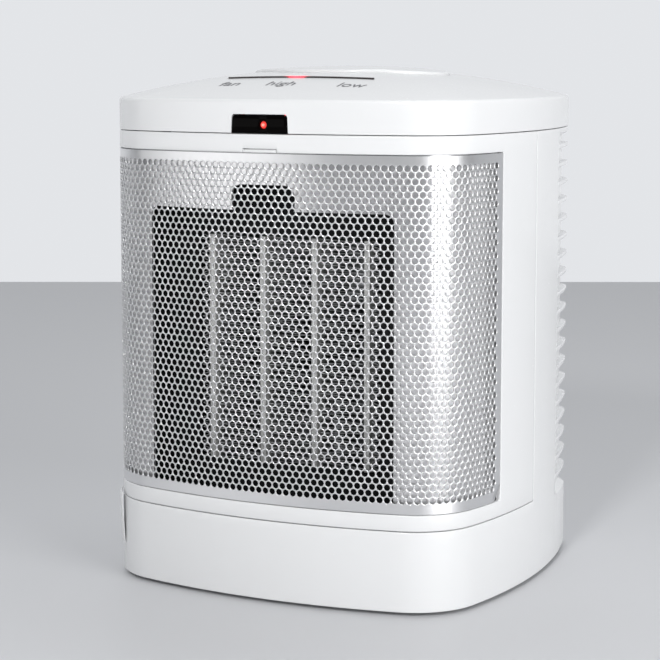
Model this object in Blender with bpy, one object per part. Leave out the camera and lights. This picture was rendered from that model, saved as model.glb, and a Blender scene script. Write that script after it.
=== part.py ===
"""A tabletop ceramic space heater with a bowed front and a perforated grille that wraps round it.

Metres, +Z up. The origin is on the surface the heater stands on, under the middle of its bounding
box. The front faces -Y, and +X is on the right of someone who faces the front. Depths are measured
backwards from the foremost point of the casing, and insets inwards from the casing's plan outline.
"""

import math

import bmesh
import bpy
import numpy as np
from mathutils import Matrix, Vector

# Casing plan: a bowed front, bowed sides and a nearly flat back, joined by rounded corners.
HALF_WIDTH = 0.0953
DEPTH = 0.1702
WIDEST_DEPTH = 0.0896
FRONT_BOW_RADIUS = 0.2934
SIDE_BOW_RADIUS = 0.2499
REAR_BOW_RADIUS = 0.8840
FRONT_CORNER_RADIUS = 0.0330
REAR_CORNER_RADIUS = 0.0133
ARC_STEPS = {"front": 7, "front corner": 6, "side": 6, "rear corner": 4, "rear": 3}

# Casing levels, from the floor up.
FOOT_HEIGHT = 0.0015
CASING_CLEARANCE = 0.0003
CASING_BOTTOM = FOOT_HEIGHT + CASING_CLEARANCE
SEAM_LEVEL = 0.0371
GRILLE_LOW = 0.0446
GRILLE_HIGH = 0.1993
CAP_LEVEL = 0.2073
RIM_LEVEL = 0.2225
DOME_HEIGHT = 0.0125
DOME_CENTRE_DEPTH = 0.0884
DOME_POWER = 2.2

WALL = 0.0025
GAP = 0.0004
SMALL_EDGE = 0.0010
PARTING_DEPTH = 0.0884
GRILLE_END_DEPTH = 0.0530
GLAND_PROUD = 0.0040
GRILLE_SHEET = 0.0008
CLIP_HALF_WIDTH = 0.0082
CLIP_LIP = 0.0012
CLIP_NOTCH_HALF_WIDTH = 0.0090
CLIP_NOTCH_RISE = 0.0022

# Rear louvres.
RECESS_START_DEPTH = 0.1238
RECESS_FULL_DEPTH = 0.1340
RECESS_DEPTH = 0.0030
RECESS_LOW = 0.0335
RECESS_HIGH = 0.2030
RECESS_SLOPE = 0.0020
RIB_COUNT = 19
RIB_PITCH = 0.00877
RIB_THICKNESS = 0.0020
TOP_RIB_LEVEL = 0.1987
INTAKE_HALF_WIDTH = 0.0560
INTAKE_LOW = 0.0500
INTAKE_HIGH = 0.1880

# Control button, light slot and indicator window.
BUTTON_DEPTH = 0.0928
BUTTON_HALF_WIDTH = 0.0475
BUTTON_HALF_DEPTH = 0.0376
BUTTON_PROUD = 0.0013
BUTTON_ROOF_LEVEL = 0.2313
BUTTON_TOP_LEVEL = 0.2365
BUTTON_SKIRT_LEVEL = 0.2262
BUTTON_BEVEL = 0.0006
STEM_RADIUS = 0.0040
STEM_LEVEL = 0.2198
SLOT_DEPTH = 0.0392
SLOT_HALF_WIDTH = 0.0370
SLOT_HALF_GAP = 0.0011
LIGHT_BAR_PROUD = 0.0006
WINDOW_HALF_WIDTH = 0.0137
WINDOW_HIGH = 0.2155
INDICATOR_X = 0.0018
INDICATOR_LEVEL = 0.2113
INDICATOR_RADIUS = 0.00175

# Control board and the switch under the button.
BOARD_HALF_WIDTH = 0.0560
BOARD_DEPTHS = (0.0340, 0.1150)
BOARD_LEVEL = 0.2095
BOARD_THICKNESS = 0.0016
BOARD_TOP = BOARD_LEVEL + BOARD_THICKNESS
MODE_LIGHTS = {"left": -0.0300, "high": -0.0060, "low": 0.0285}
MODE_LIGHT_RADIUS = 0.0015
MODE_LIGHT_HEIGHT = 0.0059
SWITCH_TOP = 0.2165
SWITCH_HALF_WIDTH = 0.0060
PLUNGER_RADIUS = 0.0030
PLUNGER_SEAT = 0.0015
BUTTON_TRAVEL = 0.0018
SPRING_RADIUS = 0.0110
SPRING_WIRE = 0.0005
SPRING_TURNS = 4
SPRING_STEPS = 12

# Baffle, duct and heater core.
BAFFLE_INSET = WALL + GAP
BAFFLE_THICKNESS = 0.0015
BAFFLE_END_DEPTH = 0.0780
OUTLET_HALF_WIDTH = 0.0600
OUTLET_LOW = 0.0405
OUTLET_HIGH = 0.1739
NOTCH_HALF_WIDTH = 0.0156
NOTCH_HIGH = 0.1852
DUCT_HALF_WIDTH = 0.0630
DUCT_WALL = 0.0018
DUCT_LOW = 0.0382
DUCT_HIGH = 0.1890
DUCT_BACK_DEPTH = 0.0480
CORE_FRONT_DEPTH = 0.0270
CORE_BACK_DEPTH = 0.0450
CORE_LOW = 0.0568
CORE_HIGH = 0.1606
BAR_SPACING = 0.0260
BAR_WIDTH = 0.0030
BAR_COUNT = 4
OUTER_FIN_WIDTH = 0.0045
FIN_SETBACK = 0.0015
FIN_WAVES = 13
FIN_THICKNESS = 0.0004
TERMINAL_X = 0.0480
TERMINAL_SIZE = (0.0064, 0.0100, 0.0008)
TERMINAL_RISE = 0.0060
CUTOUT_RISE = 0.0120
CUTOUT_RADIUS = 0.0070
CUTOUT_HEAD_RADIUS = 0.0050
CUTOUT_LENGTHS = (0.0040, 0.0045, 0.0085)

# Fan and motor, on one axis along Y.
FAN_LEVEL = 0.1125
FAN_RADIUS = 0.0510
FAN_RING_RADIUS = 0.0535
FAN_FRONT_DEPTH = 0.0600
FAN_BACK_DEPTH = 0.0770
HUB_RADIUS = 0.0160
BLADE_COUNT = 7
BLADE_THICKNESS = 0.0016
BLADE_SLANTS = (52, 30)
BLADE_CHORDS = (0.0150, 0.0270)
BLADE_REACH = 0.0150
SHAFT_RADIUS = 0.0015
BORE_CLEARANCE = 0.0003
BUSH_RADIUS = 0.0040
BUSH_LENGTH = 0.0038
MOTOR_RADIUS = 0.0180
MOTOR_FRONT_DEPTH = 0.0840
MOTOR_BACK_DEPTH = 0.1180
SHROUD_PLATE_DEPTH = 0.0565
SHROUD_BACK_DEPTH = 0.0800
ARM_COUNT = 3

# Base fittings.
PLATE_THICKNESS = 0.0025
FOOT_RADIUS = 0.0070
FOOT_BEVEL = 0.0006
FOOT_X = 0.0600
FOOT_DEPTHS = {"front": 0.0300, "rear": 0.1420}
BOSS_RADIUS = 0.0045
BOSS_HIGH = 0.0190
SCREW_DEPTHS = (0.0600, 0.1350)
SCREW_RADIUS = 0.0014
SCREW_HEAD_RADIUS = 0.0030
GLAND_LEVEL = 0.0170
GLAND_RADIUS = 0.0072
GLAND_COLLAR_RADIUS = 0.0090
CORD_HOLE_RADIUS = 0.0037
LATCH_LOW = 0.0148
LATCH_HIGH = 0.0386
LATCH_ANGLES = (-70, -44)
LATCH_STAND_OFF = 0.0003
LATCH_SHEET = 0.0006
LATCH_REACH = 0.0021
TILT_SWITCH_CORNER = (0.0230, 0.0900)
TILT_SWITCH_SIZE = (0.0140, 0.0100, 0.0130)

ROUND_STEPS = 24
SMALL_ROUND_STEPS = 12
FRONT_Y = -(DEPTH + GLAND_PROUD) / 2
FULL_TURN = 2 * math.pi

# --- plan outline --------------------------------------------------------------------------------


def circle_crossing(first, first_radius, second, second_radius, sign):
    """One of the two points where two circles cross; sign picks the side of the line of centres."""
    between = second - first
    along = (between.length_squared + first_radius**2 - second_radius**2) / (2 * between.length)
    across = math.sqrt(first_radius**2 - along**2)
    unit = between.normalized()
    return first + unit * along + Vector((-unit.y, unit.x)) * across * sign


def facing(centre, point):
    """The angle of the outward normal from centre to point, counted from the front towards +X."""
    return math.atan2(point.x - centre.x, centre.y - point.y)


def plan_arcs():
    """The +X half of the outline as tangent arcs: start and end normal angle, centre, radius, name."""
    front = Vector((0, FRONT_BOW_RADIUS))
    side = Vector((HALF_WIDTH - SIDE_BOW_RADIUS, WIDEST_DEPTH))
    rear = Vector((0, DEPTH - REAR_BOW_RADIUS))
    corner = circle_crossing(
        front, FRONT_BOW_RADIUS - FRONT_CORNER_RADIUS, side, SIDE_BOW_RADIUS - FRONT_CORNER_RADIUS, 1
    )
    rear_corner = circle_crossing(
        side, SIDE_BOW_RADIUS - REAR_CORNER_RADIUS, rear, REAR_BOW_RADIUS - REAR_CORNER_RADIUS, 1
    )
    turns = [
        0,
        facing(front, corner),
        facing(side, corner),
        facing(side, rear_corner),
        facing(rear, rear_corner),
        math.pi,
    ]
    circles = [
        (front, FRONT_BOW_RADIUS, "front"),
        (corner, FRONT_CORNER_RADIUS, "front corner"),
        (side, SIDE_BOW_RADIUS, "side"),
        (rear_corner, REAR_CORNER_RADIUS, "rear corner"),
        (rear, REAR_BOW_RADIUS, "rear"),
    ]
    return [(low, high, *circle) for low, high, circle in zip(turns, turns[1:], circles)]


PLAN = plan_arcs()


def plan_point(angle, inset=0.0):
    """The outline's x and depth where its outward normal points along angle, moved inwards by inset."""
    turn = math.remainder(angle, FULL_TURN)
    arc = next(arc for arc in PLAN if abs(turn) <= arc[1] + 1e-9)
    centre, radius = arc[2], arc[3]
    x = centre.x + (radius - inset) * math.sin(abs(turn))
    return math.copysign(x, turn), centre.y - (radius - inset) * math.cos(turn)


def all_angles():
    """Normal angles once round the outline, closer together on the corners."""
    half = []
    for low, high, _centre, _radius, name in PLAN:
        steps = ARC_STEPS[name]
        half += [low + (high - low) * i / steps for i in range(steps)]
    return half + [math.pi] + [FULL_TURN - angle for angle in reversed(half[1:])]


AROUND = all_angles()


def angles_between(start, end):
    """The outline's angles from start to end, both kept, with none crowding the ends."""
    crowd = math.radians(0.4)
    inner = [angle + turn for turn in (-FULL_TURN, 0) for angle in AROUND]
    return [start] + [angle for angle in inner if start + crowd < angle < end - crowd] + [end]


def side_angle(depth):
    """The normal angle at a depth on the bowed side."""
    return math.acos((WIDEST_DEPTH - depth) / SIDE_BOW_RADIUS)


def front_angle(x):
    """The normal angle at a distance x from the middle of the bowed front."""
    return math.asin(x / FRONT_BOW_RADIUS)


def at(x, depth, level):
    """A point in the world from its x, its depth behind the front and its level."""
    return Vector((x, FRONT_Y + depth, level))


def on_plan(angle, inset, level):
    return at(*plan_point(angle, inset), level)


# --- materials and shapes ------------------------------------------------------------------------


def finish(name, colour, roughness, metallic=0.0):
    surface = bpy.data.materials.new(name)
    surface.use_nodes = True
    shader = surface.node_tree.nodes["Principled BSDF"]
    shader.inputs["Base Color"].default_value = (*colour, 1)
    shader.inputs["Roughness"].default_value = roughness
    shader.inputs["Metallic"].default_value = metallic
    return surface


def add(name, mesh, surface):
    """Makes a named object of a bmesh, with its normals out and its round faces smooth."""
    bmesh.ops.recalc_face_normals(mesh, faces=mesh.faces)
    data = bpy.data.meshes.new(name)
    mesh.to_mesh(data)
    mesh.free()
    data.shade_smooth()
    data.set_sharp_from_angle(angle=math.radians(30))
    data.materials.append(surface)
    thing = bpy.data.objects.new(name, data)
    bpy.context.scene.collection.objects.link(thing)
    return thing


def loft(name, sections, ring, surface):
    """Skins equal closed sections into one solid, joined into a ring or capped at both ends."""
    mesh = bmesh.new()
    rows = [[mesh.verts.new(point) for point in section] for section in sections]
    pairs = list(zip(rows, rows[1:]))
    if ring:
        pairs.append((rows[-1], rows[0]))
    else:
        mesh.faces.new(rows[0])
        mesh.faces.new(rows[-1])
    for near, far in pairs:
        for i, corner in enumerate(near):
            mesh.faces.new((near[i - 1], corner, far[i], far[i - 1]))
    return add(name, mesh, surface)


def strip(name, angles, profile, surface):
    """Sweeps a profile of (inset, level) points along part of the outline."""
    sections = [[on_plan(angle, inset, level) for inset, level in profile] for angle in angles]
    return loft(name, sections, False, surface)


def wall_profile(outer, inner, low, high):
    return [(outer, low), (outer, high), (inner, high), (inner, low)]


def block(name, low, high, surface):
    """A box between two corners given as (x, depth, level)."""
    mesh = bmesh.new()
    bmesh.ops.create_cube(mesh, size=1)
    low, high = at(*low), at(*high)
    size = high - low
    bmesh.ops.scale(mesh, vec=size, verts=mesh.verts)
    bmesh.ops.translate(mesh, vec=(low + high) / 2, verts=mesh.verts)
    return add(name, mesh, surface)


def turned(name, profile, centre, axis, bored, surface, steps=ROUND_STEPS):
    """Turns a profile of (radius, distance along the axis) points about an axis through centre."""
    along = {"y": Vector((0, 1, 0)), "z": Vector((0, 0, 1))}[axis]
    across = Vector((1, 0, 0))
    up = along.cross(across)
    turns = [FULL_TURN * i / steps for i in range(steps)]
    sections = [
        [centre + along * reach + (across * math.cos(a) + up * math.sin(a)) * radius for a in turns]
        for radius, reach in profile
    ]
    return loft(name, sections, bored, surface)


def cylinder(name, radius, centre, low, high, axis, surface, steps=ROUND_STEPS):
    return turned(name, [(radius, low), (radius, high)], centre, axis, False, surface, steps)


def tube(name, outer, inner, centre, low, high, axis, surface, steps=ROUND_STEPS):
    profile = [(outer, low), (outer, high), (inner, high), (inner, low)]
    return turned(name, profile, centre, axis, True, surface, steps)


def guide(thing):
    """Marks a tool solid, which only shapes other pieces."""
    thing.hide_render = True
    thing.display_type = "WIRE"
    return thing


def shape(thing, operation, *tools):
    """Cuts, joins or intersects a piece with tool solids."""
    for tool in tools:
        modifier = thing.modifiers.new(tool.name, "BOOLEAN")
        modifier.operation = operation
        modifier.solver = "EXACT"
        modifier.object = guide(tool)


def put_origin(thing, point):
    """Moves a piece's origin to a point and leaves its shape where it is."""
    thing.data.transform(Matrix.Translation(-point))
    thing.location = point


# --- casing --------------------------------------------------------------------------------------


def recess_at(angle):
    """How far the louvred wall lies behind the outline: nothing at the sides, full at the back."""
    start, full = side_angle(RECESS_START_DEPTH), side_angle(RECESS_FULL_DEPTH)
    turn = abs(math.remainder(angle, FULL_TURN))
    share = min(max((turn - start) / (full - start), 0), 1)
    return RECESS_DEPTH * share * share * (3 - 2 * share)


def rear_casing_section(angle):
    """Outer face going up, then inner face coming down."""
    recess = recess_at(angle)
    outer = [
        (SMALL_EDGE, CASING_BOTTOM),
        (0, CASING_BOTTOM + SMALL_EDGE),
        (0, RECESS_LOW - RECESS_SLOPE),
        (recess, RECESS_LOW),
        (recess, RECESS_HIGH),
        (0, RECESS_HIGH + RECESS_SLOPE),
        (0, CAP_LEVEL),
    ]
    inner = [(inset + WALL, level) for inset, level in reversed(outer[1:])]
    inner[-1] = (WALL, CASING_BOTTOM)
    return [on_plan(angle, inset, level) for inset, level in outer + inner]


def rib(name, angles, level, helper):
    """One louvre rib, flush with the outline and rooted in the recessed wall all along."""
    low, high = level - RIB_THICKNESS / 2, level + RIB_THICKNESS / 2
    sections = []
    for angle in angles:
        profile = wall_profile(GAP / 4, recess_at(angle) + 2 * GAP, low, high)
        sections.append([on_plan(angle, inset, height) for inset, height in profile])
    return loft(name, sections, False, helper)


def add_rear_housing(plastic, helper):
    """The main moulding: the base ring all round, and above it the louvred back half."""
    start, full = side_angle(RECESS_START_DEPTH), side_angle(RECESS_FULL_DEPTH)
    ramp = [start + (full - start) * i / 3 for i in range(4)]
    angles = sorted(AROUND + ramp + [FULL_TURN - angle for angle in ramp])
    housing = loft("rear_housing", [rear_casing_section(a) for a in angles], True, plastic)
    reach = HALF_WIDTH + WALL
    shape(
        housing,
        "DIFFERENCE",
        block(
            "front_clearance",
            (-reach, -WALL, SEAM_LEVEL),
            (reach, PARTING_DEPTH + GAP / 2, RIM_LEVEL),
            helper,
        ),
        block(
            "intake_opening",
            (-INTAKE_HALF_WIDTH, DEPTH - REAR_CORNER_RADIUS, INTAKE_LOW),
            (INTAKE_HALF_WIDTH, DEPTH + WALL, INTAKE_HIGH),
            helper,
        ),
        cylinder(
            "gland_hole", GLAND_RADIUS + GAP, at(0, DEPTH, GLAND_LEVEL), -2 * WALL, WALL, "y", helper
        ),
    )
    rib_start = side_angle(RECESS_START_DEPTH + SMALL_EDGE)
    rib_angles = angles_between(rib_start, FULL_TURN - rib_start)
    for number in range(RIB_COUNT):
        level = TOP_RIB_LEVEL - number * RIB_PITCH
        shape(housing, "UNION", rib(f"rib_{number + 1}", rib_angles, level, helper))
    for name, x, depth in screw_places():
        boss = cylinder(
            f"boss_{name}", BOSS_RADIUS, at(x, depth, 0), screw_head_top(), BOSS_HIGH, "z", helper,
            SMALL_ROUND_STEPS,
        )
        hole = cylinder(
            f"pilot_{name}", SCREW_RADIUS + GAP, at(x, depth, 0), 0, BOSS_HIGH - WALL, "z", helper,
            SMALL_ROUND_STEPS,
        )
        shape(housing, "UNION", boss)
        shape(housing, "DIFFERENCE", hole)


def add_front_housing(plastic, helper):
    """The frame round the grille: two side strips joined by a band above and a band below."""
    end = side_angle(PARTING_DEPTH - GAP / 2)
    housing = strip(
        "front_housing",
        angles_between(-end, end),
        wall_profile(0, WALL, SEAM_LEVEL + GAP, CAP_LEVEL),
        plastic,
    )
    reach = HALF_WIDTH + WALL
    shape(
        housing,
        "DIFFERENCE",
        block("grille_window", (-reach, -WALL, GRILLE_LOW), (reach, GRILLE_END_DEPTH, GRILLE_HIGH), helper),
        block(
            "clip_notch",
            (-CLIP_NOTCH_HALF_WIDTH, -WALL, GRILLE_LOW + WALL),
            (CLIP_NOTCH_HALF_WIDTH, 2 * WALL, GRILLE_HIGH + CLIP_NOTCH_RISE),
            helper,
        ),
    )


def dome_ring(scale, inset, drop):
    """The outline drawn in towards the dome's middle, lifted onto the dome."""
    middle = at(0, DOME_CENTRE_DEPTH, 0)
    rise = DOME_HEIGHT * (1 - scale**DOME_POWER)
    ring = []
    for angle in AROUND:
        edge = on_plan(angle, inset, 0)
        ring.append(middle + (edge - middle) * scale + Vector((0, 0, RIM_LEVEL + rise - drop)))
    return ring


def dome_level(point):
    """The dome's level over a point, from the outline's distance in the point's direction."""
    middle = at(0, DOME_CENTRE_DEPTH, 0)
    edges = [on_plan(angle, 1.5 * SMALL_EDGE, 0) - middle for angle in AROUND]
    away = (point - middle).xy
    reach = np.interp(
        math.atan2(away.x, -away.y),
        [math.atan2(edge.x, -edge.y) % FULL_TURN for edge in edges],
        [edge.xy.length for edge in edges],
        period=FULL_TURN,
    )
    return RIM_LEVEL + DOME_HEIGHT * (1 - (away.length / reach) ** DOME_POWER)


def add_top_cover(plastic, helper):
    """The domed cap, with its skirt, the button's opening, the light slot and the window's notch."""
    scales = (1, 0.9, 0.75, 0.6, 0.4, 0.1)
    low = CAP_LEVEL + GAP
    inside = [dome_ring(scale, WALL, WALL) for scale in reversed(scales)]
    outside = [dome_ring(scale, 1.5 * SMALL_EDGE, 0) for scale in scales]
    skirt = [
        [on_plan(angle, WALL, low) for angle in AROUND],
        [on_plan(angle, 0, low) for angle in AROUND],
        [on_plan(angle, 0, RIM_LEVEL - 1.5 * SMALL_EDGE) for angle in AROUND],
        [on_plan(angle, 0.4 * SMALL_EDGE, RIM_LEVEL - 0.5 * SMALL_EDGE) for angle in AROUND],
    ]
    cover = loft("top_cover", inside + skirt + outside, False, plastic)
    opening = loft(
        "button_opening",
        [button_ring(-GAP, BUTTON_SKIRT_LEVEL - WALL), button_ring(-GAP, BUTTON_TOP_LEVEL + WALL)],
        False,
        helper,
    )
    slot = block(
        "light_slot",
        (-SLOT_HALF_WIDTH, SLOT_DEPTH - SLOT_HALF_GAP, BUTTON_SKIRT_LEVEL - WALL),
        (SLOT_HALF_WIDTH, SLOT_DEPTH + SLOT_HALF_GAP, BUTTON_TOP_LEVEL),
        helper,
    )
    notch = block(
        "window_notch",
        (-WINDOW_HALF_WIDTH - GAP, -WALL, CAP_LEVEL - WALL),
        (WINDOW_HALF_WIDTH + GAP, 2 * WALL, WINDOW_HIGH + GAP),
        helper,
    )
    shape(cover, "DIFFERENCE", opening, slot, notch)


def add_grille(steel, plastic):
    """The grille's sheet on the casing's outline, and the clip that holds its top edge."""
    end = side_angle(GRILLE_END_DEPTH - GAP)
    strip(
        "grille",
        angles_between(-end, end),
        wall_profile(0, GRILLE_SHEET, GRILLE_LOW + GAP, GRILLE_HIGH - GAP),
        steel,
    )
    edge = front_angle(CLIP_HALF_WIDTH)
    strip(
        "grille_clip",
        angles_between(-edge, edge),
        wall_profile(GAP / 4, WALL, GRILLE_HIGH + GAP / 4, GRILLE_HIGH + GAP / 4 + CLIP_LIP),
        plastic,
    )


def add_front_baffle(plastic, helper):
    """The inner wall behind the grille, with the outlet opening and the tab notch above it."""
    end = side_angle(BAFFLE_END_DEPTH)
    baffle = strip(
        "front_baffle",
        angles_between(-end, end),
        wall_profile(
            BAFFLE_INSET, BAFFLE_INSET + BAFFLE_THICKNESS, SEAM_LEVEL + 2 * GAP, CAP_LEVEL - WALL
        ),
        plastic,
    )
    shape(
        baffle,
        "DIFFERENCE",
        block(
            "outlet_opening",
            (-OUTLET_HALF_WIDTH, 0, OUTLET_LOW),
            (OUTLET_HALF_WIDTH, CORE_FRONT_DEPTH, OUTLET_HIGH),
            helper,
        ),
        block(
            "outlet_notch",
            (-NOTCH_HALF_WIDTH, 0, OUTLET_HIGH - WALL),
            (NOTCH_HALF_WIDTH, CORE_FRONT_DEPTH, NOTCH_HIGH),
            helper,
        ),
    )


# --- controls ------------------------------------------------------------------------------------


def button_ring(inset, level):
    """The button's oval, drawn in by inset."""
    middle = at(0, BUTTON_DEPTH, level)
    turns = [FULL_TURN * i / (3 * SMALL_ROUND_STEPS) for i in range(3 * SMALL_ROUND_STEPS)]
    wide, deep = BUTTON_HALF_WIDTH - inset, BUTTON_HALF_DEPTH - inset
    return [middle + Vector((wide * math.cos(a), deep * math.sin(a), 0)) for a in turns]


def button_rim(inset, drop):
    """The button's rim, which follows the dome and stands a little proud of it."""
    rim = button_ring(inset, 0)
    for point in rim:
        point.z = dome_level(point) + BUTTON_PROUD - drop
    return rim


def stem_ring(level):
    middle = at(0, BUTTON_DEPTH, level)
    turns = [FULL_TURN * i / (3 * SMALL_ROUND_STEPS) for i in range(3 * SMALL_ROUND_STEPS)]
    return [middle + Vector((math.cos(a), math.sin(a), 0)) * STEM_RADIUS for a in turns]


def add_control_button(plastic):
    """The oval push button: a crowned shell with a skirt, and the stem that works the switch."""
    rim = button_rim(BUTTON_BEVEL, 0)
    rings = [
        stem_ring(STEM_LEVEL),
        stem_ring(BUTTON_ROOF_LEVEL),
        button_ring(WALL, BUTTON_ROOF_LEVEL),
        button_ring(WALL, BUTTON_SKIRT_LEVEL),
        button_ring(0, BUTTON_SKIRT_LEVEL),
        button_rim(0, BUTTON_BEVEL),
        rim,
    ]
    top = at(0, BUTTON_DEPTH, BUTTON_TOP_LEVEL)
    for share in (0.8, 0.55, 0.3, 0.05):
        rings.append([top + (point - top) * Vector((share, share, share**2)) for point in rim])
    button = loft("control_button", rings, False, plastic)
    put_origin(button, at(0, BUTTON_DEPTH, STEM_LEVEL))


def add_switch(black, white, spring_steel, helper):
    """The push switch on the board, its plunger and the spring that lifts the button."""
    half = SWITCH_HALF_WIDTH
    body = block(
        "switch_body",
        (-half, BUTTON_DEPTH - half, BOARD_TOP + GAP),
        (half, BUTTON_DEPTH + half, SWITCH_TOP),
        black,
    )
    base = at(0, BUTTON_DEPTH, 0)
    low = SWITCH_TOP - PLUNGER_SEAT
    bore = cylinder(
        "plunger_bore", PLUNGER_RADIUS + GAP, base, low - BUTTON_TRAVEL - GAP, SWITCH_TOP + WALL, "z",
        helper, SMALL_ROUND_STEPS,
    )
    shape(body, "DIFFERENCE", bore)
    plunger = cylinder(
        "switch_plunger", PLUNGER_RADIUS, base, low, STEM_LEVEL - GAP, "z", white, SMALL_ROUND_STEPS
    )
    put_origin(plunger, at(0, BUTTON_DEPTH, low))

    low = BOARD_TOP + GAP + SPRING_WIRE
    high = BUTTON_ROOF_LEVEL - GAP - SPRING_WIRE
    line = bpy.data.curves.new("button_spring", "CURVE")
    line.dimensions = "3D"
    line.bevel_depth = SPRING_WIRE
    line.bevel_resolution = 1
    line.use_fill_caps = True
    count = SPRING_TURNS * SPRING_STEPS
    spline = line.splines.new("POLY")
    spline.points.add(count)
    for i, point in enumerate(spline.points):
        angle = FULL_TURN * i / SPRING_STEPS
        x, y = SPRING_RADIUS * math.cos(angle), SPRING_RADIUS * math.sin(angle)
        point.co = (*(base + Vector((x, y, low + (high - low) * i / count))), 1)
    line.materials.append(spring_steel)
    spring = bpy.data.objects.new("button_spring", line)
    bpy.context.scene.collection.objects.link(spring)


def add_control_board(board, red, smoked, helper):
    """The circuit board under the cap, its three mode lights and the light bar in the slot."""
    block(
        "control_board",
        (-BOARD_HALF_WIDTH, BOARD_DEPTHS[0], BOARD_LEVEL),
        (BOARD_HALF_WIDTH, BOARD_DEPTHS[1], BOARD_TOP),
        board,
    )
    tip = BOARD_TOP + MODE_LIGHT_HEIGHT
    for name, x in MODE_LIGHTS.items():
        profile = [
            (MODE_LIGHT_RADIUS, BOARD_TOP + GAP),
            (MODE_LIGHT_RADIUS, tip - GAP - SMALL_EDGE),
            (MODE_LIGHT_RADIUS - GAP, tip - GAP),
            (GAP, tip),
        ]
        turned(f"mode_light_{name}", profile, at(x, SLOT_DEPTH, 0), "z", False, red, SMALL_ROUND_STEPS)
    low = tip + 1.5 * GAP
    bar = block(
        "light_bar",
        (GAP - SLOT_HALF_WIDTH, SLOT_DEPTH - SLOT_HALF_GAP + GAP, low),
        (SLOT_HALF_WIDTH - GAP, SLOT_DEPTH + SLOT_HALF_GAP - GAP, BUTTON_TOP_LEVEL),
        smoked,
    )
    scales = (1, 0.8, 0.6, 0.4, 0.1)
    base = [on_plan(angle, WALL, low - WALL) for angle in AROUND]
    core = loft("dome_core", [base] + [dome_ring(s, WALL, -LIGHT_BAR_PROUD) for s in scales], False, helper)
    shape(bar, "INTERSECT", core)


def add_indicator(smoked, red, helper):
    """The dark window in the cap's front notch, and the indicator light that shows through it."""
    edge = front_angle(WINDOW_HALF_WIDTH)
    window = strip(
        "indicator_window",
        angles_between(-edge, edge),
        wall_profile(GAP / 2, WALL, CAP_LEVEL + GAP, WINDOW_HIGH),
        smoked,
    )
    centre = at(INDICATOR_X, 0, INDICATOR_LEVEL)
    hole = cylinder(
        "indicator_hole", INDICATOR_RADIUS + GAP, centre, -WALL, 3 * WALL, "y", helper, SMALL_ROUND_STEPS
    )
    shape(window, "DIFFERENCE", hole)
    profile = [
        (0.0004, 0.0002),
        (0.0011, 0.0005),
        (INDICATOR_RADIUS, 0.0013),
        (INDICATOR_RADIUS, 0.0080),
    ]
    turned("indicator_light", profile, centre, "y", False, red, SMALL_ROUND_STEPS)


# --- heater --------------------------------------------------------------------------------------


def add_outlet_duct(black, helper):
    """The heat-resistant duct from the outlet opening back to the fan, shaped to the baffle in front."""
    duct = block(
        "outlet_duct",
        (-DUCT_HALF_WIDTH, WALL, DUCT_LOW),
        (DUCT_HALF_WIDTH, DUCT_BACK_DEPTH, DUCT_HIGH),
        black,
    )
    inner = DUCT_HALF_WIDTH - DUCT_WALL
    passage = block(
        "duct_passage",
        (-inner, -WALL, DUCT_LOW + DUCT_WALL),
        (inner, DUCT_BACK_DEPTH + WALL, DUCT_HIGH - DUCT_WALL),
        helper,
    )
    behind_baffle = BAFFLE_INSET + BAFFLE_THICKNESS + GAP
    keep = loft(
        "behind_baffle",
        [[on_plan(angle, behind_baffle, level) for angle in AROUND] for level in (0, RIM_LEVEL)],
        False,
        helper,
    )
    shape(duct, "DIFFERENCE", passage)
    shape(duct, "INTERSECT", keep)


def add_heater_frame(black, helper):
    """The moulded frame that fills the duct and carries the ceramic core."""
    side = DUCT_HALF_WIDTH - DUCT_WALL - GAP
    frame = block(
        "heater_frame",
        (-side, CORE_FRONT_DEPTH, DUCT_LOW + DUCT_WALL + GAP),
        (side, CORE_BACK_DEPTH, DUCT_HIGH - DUCT_WALL - GAP),
        black,
    )
    half = BAR_SPACING * (BAR_COUNT - 1) / 2 + BAR_WIDTH / 2 + OUTER_FIN_WIDTH + 2 * GAP
    passage = block(
        "core_opening",
        (-half, CORE_FRONT_DEPTH - WALL, CORE_LOW - GAP),
        (half, CORE_BACK_DEPTH + WALL, CORE_HIGH + GAP),
        helper,
    )
    shape(frame, "DIFFERENCE", passage)


def add_fin_pack(name, left, right, aluminium):
    """One folded strip of fins: a zigzag that climbs between two bars, mitred at each fold."""
    front, back = CORE_FRONT_DEPTH + FIN_SETBACK, CORE_BACK_DEPTH - FIN_SETBACK
    low, high = CORE_LOW + GAP, CORE_HIGH - GAP
    folds = 2 * FIN_WAVES
    climb = (high - low) / folds
    mitre = FIN_THICKNESS * (right - left) / climb
    sections = []
    for i in range(folds + 1):
        x = (left, right - mitre)[i % 2]
        corners = ((x, front), (x + mitre, front), (x + mitre, back), (x, back))
        sections.append([at(*corner, low + climb * i) for corner in corners])
    loft(name, sections, False, aluminium)


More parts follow.
